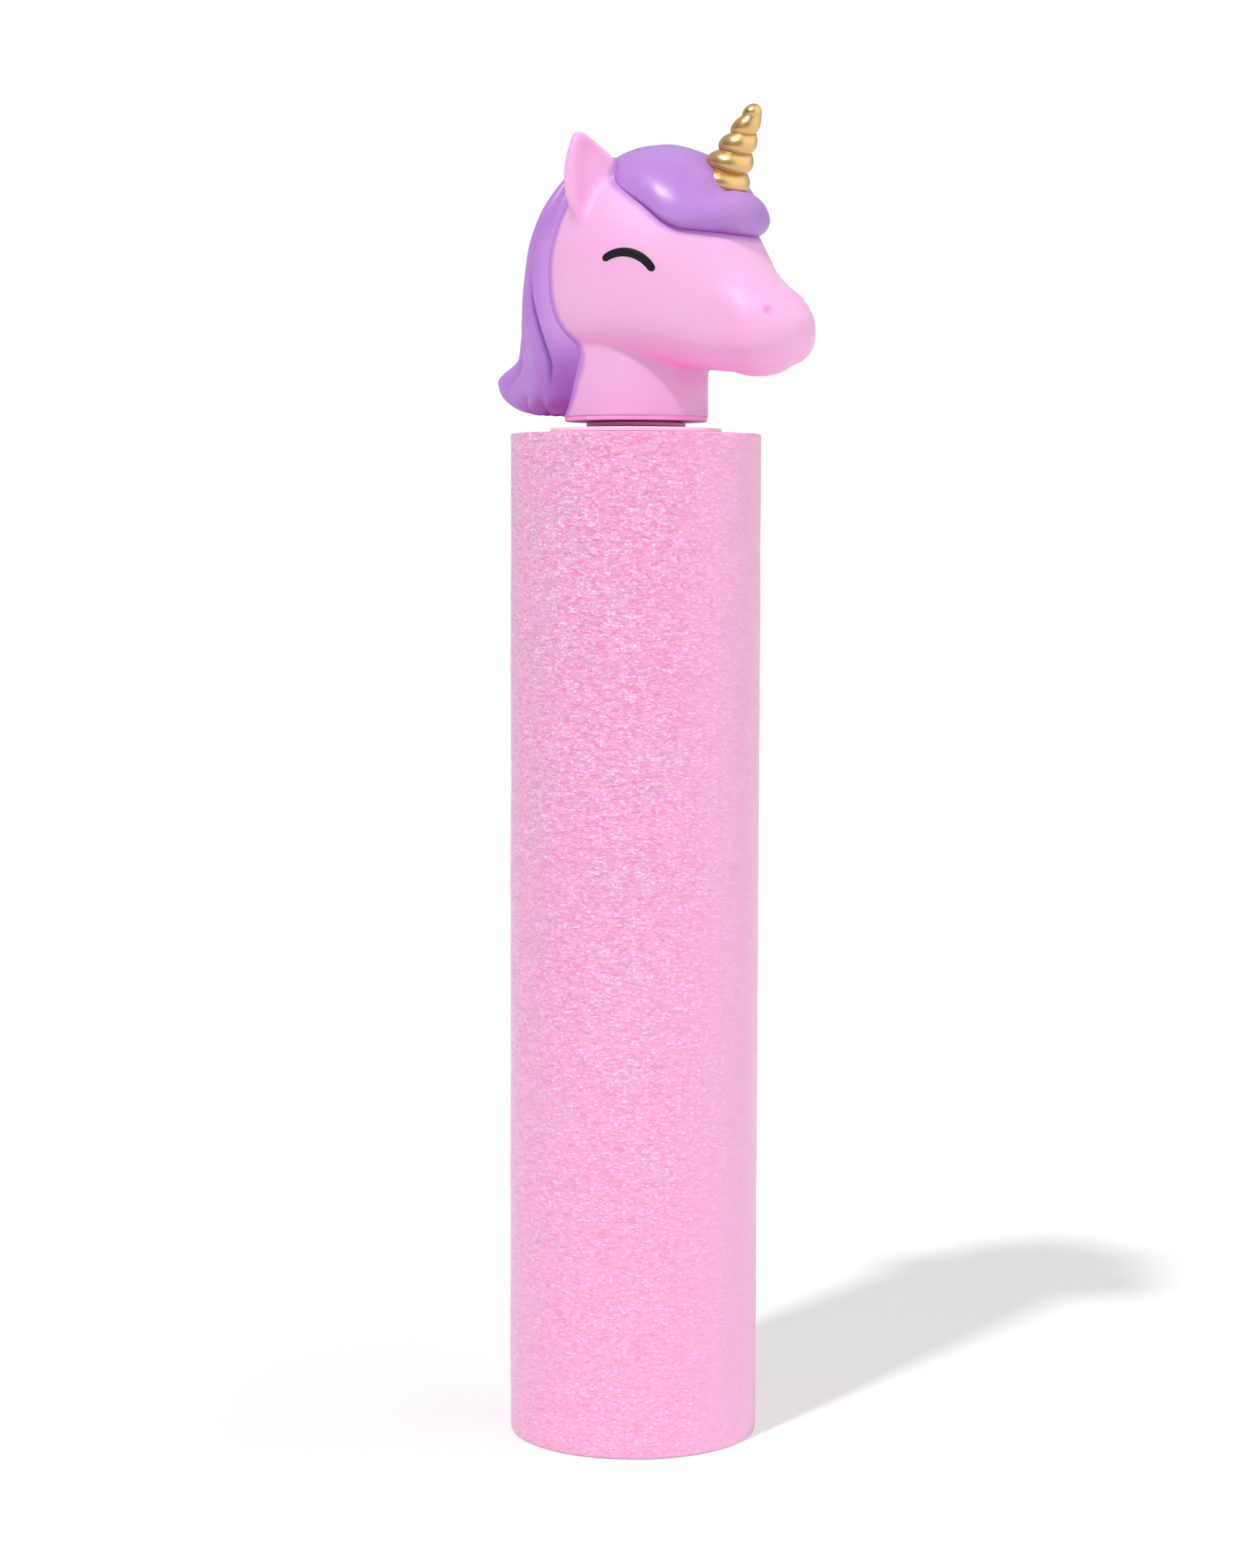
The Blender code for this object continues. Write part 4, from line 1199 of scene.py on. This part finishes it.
def hairFinish():
    finish = Finish("hairPaint")
    along = finish.stretched(finish.here, (1, 1, hair["strandLength"]))
    strands = finish.cloud(along, hair["strandSize"], detail=3)
    patches = finish.cloud(finish.here, hair["patchSize"])
    grain = finish.cloud(finish.here, hair["grainSize"])
    colour = finish.mix(finish.ramp(patches, *hair["patchRange"]), hair["shade"], hair["colour"])
    streaks = finish.ramp(strands, *hair["strandRange"]) * hair["strandTint"]
    colour = finish.mix(streaks, colour, hair["streak"])
    # the mane's paint gets deeper low down beside the neck
    forward = finish.axis(finish.here, "X") - axisX
    rise = finish.axis(finish.here, "Z") - neckFoot
    low = 1 - finish.ramp(rise, hair["lowTo"], hair["lowFrom"])
    low = low * finish.ramp(forward, hair["lowBack"], hair["lowFront"])
    colour = finish.mix(low, colour, hair["low"])
    # painted highlight along the mane's hairline
    colour = finish.mix(finish.painted("thin") * hair["thinTint"], colour, hair["thin"])
    # painted shade where the hair is shut in or faces down
    colour = finish.mix(finish.ramp(finish.painted("paintedShade"), *hair["shadeRange"]), colour, hair["paintedShade"])
    # painted shade along the grooves between the locks
    line = finish.ramp(finish.painted("line"), *hair["lineShadeRange"]) * hair["lineShadeTint"]
    relief = grain + strands * hair["strandRelief"]
    finish.surface({
        "Base Color": finish.mix(line, colour, hair["line"]),
        "Roughness": hair["roughness"] + hair["strandRoughness"] * (strands - 0.5),
        "Normal": finish.bump(relief, hair["bumpDepth"], hair["bumpStrength"]),
        "Subsurface Weight": 0.15,
        "Subsurface Radius": (0.8, 0.3, 1.0),
        "Subsurface Scale": 2 * mm,
    })
    return finish


# horn: gold paint over fat spiral coils, with painted shade in the grooves

horn = {
    "base": (23.2, 0, 53.6),
    "lean": radians(27.8),
    "length": 20.5,
    "root": 7.0,
    "baseRadius": 6.8,
    "tipRadius": 1.7,
    "tipRound": 2.0,
    "tipFlat": 0.1,
    "turns": 4.4,
    "groove": 0.24,
    "grooveEnd": (0.0, 5.0),             # how far below the tip the groove sets in
    "ridge": 1.3,
    "gold": tone(222, 184, 126),
    # painted shade in the grooves between the coils
    "deep": tone(178, 128, 62),
    "recessShadeRange": (0.02, 0.35),
    "grooveShadeTint": 0.7,
    "metal": 0.95,
    "deepMetal": 0.8,
    "roughness": 0.37,
    "deepRoughness": 0.12,
    "hazeSize": 4 * mm,
    "hazeRoughness": 0.06,
    "flakeSize": 0.22 * mm,
    "flakeDepth": 0.002 * mm,
    "flakeStrength": 0.2,
}


def makeHorn(levels=220, sides=96):
    axis = np.array((sin(horn["lean"]), 0, cos(horn["lean"])))
    across = np.array((cos(horn["lean"]), 0, -sin(horn["lean"])))
    turns = aroundRing(sides)
    rings, waves = [], []
    for height in np.linspace(-horn["root"], horn["length"], levels):
        share = height / horn["length"]
        taper = horn["baseRadius"] + (horn["tipRadius"] - horn["baseRadius"]) * share
        pastRound = max(0.0, 1 - (horn["length"] - height) / horn["tipRound"])
        dome = max(horn["tipFlat"], sqrt(1 - pastRound ** 2))
        wave = np.abs(np.sin(pi * horn["turns"] * share - turns / 2))
        deep = smooth(horn["length"] - height, *horn["grooveEnd"])
        radius = taper * (1 - horn["groove"] * deep * (1 - wave) ** horn["ridge"]) * dome
        middle = np.array(horn["base"]) + axis * height
        ring = middle + np.outer(np.cos(turns) * radius, across)
        rings.append(ring + np.outer(np.sin(turns) * radius, (0, 1, 0)))
        waves.append(1 - deep * (1 - wave))
    piece = loft("hornCoils", onHead(rings))
    setPaint(piece, "coil", np.append(np.ravel(waves), (1, 1)))
    return piece


def hornFinish():
    finish = Finish("goldPaint")
    flakes = finish.cloud(finish.here, horn["flakeSize"])
    haze = finish.cloud(finish.here, horn["hazeSize"])
    # painted shade in the grooves, with less metal and more roughness there
    crevice = 1 - finish.ramp(finish.painted("coil"), *horn["recessShadeRange"])
    rough = horn["roughness"] + horn["deepRoughness"] * crevice
    finish.surface({
        "Base Color": finish.mix(crevice * horn["grooveShadeTint"], horn["gold"], horn["deep"]),
        "Metallic": horn["metal"] - (horn["metal"] - horn["deepMetal"]) * crevice,
        "Roughness": rough + horn["hazeRoughness"] * (haze - 0.5),
        "Normal": finish.bump(flakes, horn["flakeDepth"], horn["flakeStrength"]),
    })
    return finish


# pieces that stay as the frame has them

inside = {
    "barrel": tone(236, 236, 239),
    "barrelShade": tone(222, 222, 228),
    "barrelRoughness": 0.3,
    "rubber": tone(34, 34, 36),
    "rubberDust": tone(58, 58, 60),
    "dustSize": 1.1 * mm,
    "dustRange": (0.5, 0.85),
    "rubberRoughness": 0.55,
    "dustRoughness": 0.2,
    "dustDepth": 0.03 * mm,
    "dustStrength": 0.5,
}


def rubberFinish():
    finish = Finish("blackRubber")
    dust = finish.cloud(finish.here, inside["dustSize"], detail=4, roughness=0.6)
    dusty = finish.ramp(dust, *inside["dustRange"])
    finish.surface({
        "Base Color": finish.mix(dusty, inside["rubber"], inside["rubberDust"]),
        "Roughness": inside["rubberRoughness"] + inside["dustRoughness"] * (dust - 0.5),
        "Normal": finish.bump(dust, inside["dustDepth"], inside["dustStrength"]),
    })
    return finish


def refinish(finish, *nodes):
    for node in nodes:
        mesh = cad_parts[node].data
        mesh.materials.clear()
        mesh.materials.append(finish.material)


# the making

foamSleeve = makeFoamSleeve()
settle(foamSleeve, foamFinish(), "barrel", "foam", "foam_sleeve")
print("foam sleeve done:", len(foamSleeve.data.polygons), "faces")

capFinish = mouldedFinish("capPlastic", caps["colour"], caps["shade"], caps["roughness"])
settle(makeRearCap(), capFinish, "barrel", "cap", "rear_cap")
settle(makeNozzleCap(), capFinish, "barrel", "cap", "nozzle_cap")
print("caps done")

rodFinish = mouldedFinish("rodPlastic", plunger["rodColour"], plunger["rodShade"], plunger["rodRoughness"])
settle(makePlungerRod(), rodFinish, "plunger", "plunger", "plunger_rod")
collarFinish = mouldedFinish(
    "collarPlastic", plunger["collarColour"], plunger["collarShade"], plunger["collarRoughness"],
)
settle(makeRodCollar(), collarFinish, "plunger", "plunger", "rod_collar")
insertFinish = mouldedFinish("insertPlastic", vinyl["skin"], vinyl["blushAndShade"], plunger["insertRoughness"])
settle(makeNeckInsert(), insertFinish, "plunger", "head", "neck_insert")
print("plunger done")

headSkin = makeHeadSkin()
manePiece = makeMane()
forelockPiece = loft("forelockRoll", forelockRings())
paintGaps(headSkin, ((manePiece, vinyl["maneSpray"]), (forelockPiece, vinyl["forelockSpray"])))
for piece in (headSkin, manePiece, forelockPiece):
    paintShade(piece, (headSkin, manePiece, forelockPiece))
hairPaint = hairFinish()
settle(headSkin, vinylFinish(), "plunger", "head", "head_shell")
settle(manePiece, hairPaint, "plunger", "hair", "mane")
settle(forelockPiece, hairPaint, "plunger", "hair", "forelock")
settle(makeHorn(), hornFinish(), "plunger", "horn", "horn")
eyePaint = eyeFinish()
for sideName, mirror in (("Left", 1), ("Right", -1)):
    eye = makeEye("eye" + sideName, mirror, headSkin)
    settle(eye, eyePaint, "plunger", "eye", "eye_" + sideName.lower())
print("head done:", len(headSkin.data.polygons), "faces")

barrelFinish = mouldedFinish(
    "barrelPlastic", inside["barrel"], inside["barrelShade"], inside["barrelRoughness"],
)
refinish(barrelFinish, "barrel_tube", "piston")
refinish(rubberFinish(), "seal_ring_upper", "seal_ring_lower")
print("inner pieces done")


# studio: white floor, white surroundings, a key light from the front left and a wide fill from the right

studio = {
    "turn": radians(32),
    "distance": 0.7761,
    "height": 0.2192,
    "tilt": 0.079273,
    "focus": 4434.4,
    "sideways": -1.78 * mm,
    "roll": 0.0031,
    "imageHeight": 2156,
    "sensor": 36.0,
    "keyWay": (0.42, 0.63, -1.0),        # right, away, up
    "keyStrength": 2.25,
    "keyAngle": radians(4),
    "fillWay": (-0.9, 0.3, -0.5),
    "fillStrength": 1.25,
    "fillAngle": radians(90),
    "ambient": 0.4,
    "darkWay": (-0.7, -0.7, 0.0),        # the side of the room that is darker in reflections
    "darkRange": (0.2, 0.8),
    "darkShare": 0.25,
    "glossLevel": 0.55,
    "floorRadius": 6.0,
    "floorSides": 96,
    "floorDrop": 0.2 * mm,
    "floorRoughness": 0.9,
    "floorColour": tone(244, 244, 244),
    "floorGlow": 0.42,
}

toRight = Vector((cos(studio["turn"]), sin(studio["turn"]), 0))
toAway = Vector((-sin(studio["turn"]), cos(studio["turn"]), 0))
toUp = Vector((0, 0, 1))


def inRoom(way):
    # a direction told as right, away and up, as the camera stands
    right, away, up = way
    return toRight * right + toAway * away + toUp * up


def makeCamera():
    look = toAway * cos(studio["tilt"]) - toUp * sin(studio["tilt"])
    above = toAway * sin(studio["tilt"]) + toUp * cos(studio["tilt"])
    across = toRight * cos(studio["roll"]) + above * sin(studio["roll"])
    above = above * cos(studio["roll"]) - toRight * sin(studio["roll"])
    data = bpy.data.cameras.new("photoCamera")
    data.sensor_width = studio["sensor"]
    data.lens = studio["sensor"] * studio["focus"] / studio["imageHeight"]
    camera = bpy.data.objects.new("photoCamera", data)
    place = Matrix((across, above, -look)).transposed().to_4x4()
    place.translation = (
        Vector((axisX, 0, 0)) + toRight * studio["sideways"] - toAway * studio["distance"]
        + toUp * studio["height"]
    )
    camera.matrix_world = place
    bpy.context.scene.collection.objects.link(camera)
    bpy.context.scene.camera = camera


def makeLamp(name, way, strength, angle):
    data = bpy.data.lights.new(name, "SUN")
    data.energy = strength
    data.angle = angle
    lamp = bpy.data.objects.new(name, data)
    lamp.rotation_euler = inRoom(way).to_track_quat("-Z", "Y").to_euler()
    lamp.location = -inRoom(way)
    bpy.context.scene.collection.objects.link(lamp)


def makeSurroundings():
    world = bpy.data.worlds.new("studio")
    bpy.context.scene.world = world
    world.use_nodes = True
    bench = Bench(world.node_tree)
    camera = bench.lightPath("Is Camera Ray")
    gloss = bench.lightPath("Is Glossy Ray")
    through = bench.lightPath("Is Transmission Ray")
    way = bench.node("ShaderNodeTexCoord", {}, {}, "Generated")
    side = bench.dot(way, inRoom(studio["darkWay"]).normalized())
    dim = studio["glossLevel"] * (1 - (1 - studio["darkShare"]) * bench.ramp(side, *studio["darkRange"]))
    seen = camera.maths("MAXIMUM", camera, through)
    seen = seen.maths("MAXIMUM", seen, gloss * dim)
    background = world.node_tree.nodes["Background"]
    background.inputs["Color"].default_value = (1, 1, 1, 1)
    diffuse = 1 - seen.maths("MAXIMUM", seen, gloss)
    bench.feed(background.inputs["Strength"], seen + studio["ambient"] * diffuse)


def makeFloor():
    shape = bmesh.new()
    sides, radius = studio["floorSides"], studio["floorRadius"]
    bmesh.ops.create_circle(shape, cap_ends=True, segments=sides, radius=radius)
    mesh = bpy.data.meshes.new("floor")
    shape.to_mesh(mesh)
    shape.free()
    floor = asPiece("floor", mesh)
    floor.location.z = -studio["floorDrop"]
    paint = Finish("floorPaint")
    paint.surface({
        "Base Color": studio["floorColour"],
        "Roughness": studio["floorRoughness"],
        "Specular IOR Level": 0.0,
    })
    matte = Wire(paint, paint.tree.nodes["Principled BSDF"].outputs[0])
    glow = paint.node("ShaderNodeEmission", {}, {"Color": (1, 1, 1, 1), "Strength": 1.0})
    share = studio["floorGlow"] * paint.lightPath("Is Camera Ray")
    lit = paint.node("ShaderNodeMixShader", {}, {0: share, 1: matte, 2: glow})
    paint.feed(paint.tree.nodes["Material Output"].inputs["Surface"], lit)
    mesh.materials.append(paint.material)


makeCamera()
makeLamp("keyLight", studio["keyWay"], studio["keyStrength"], studio["keyAngle"])
makeLamp("fillLight", studio["fillWay"], studio["fillStrength"], studio["fillAngle"])
makeSurroundings()
makeFloor()
bpy.context.scene.view_settings.view_transform = "Standard"
print("studio done")
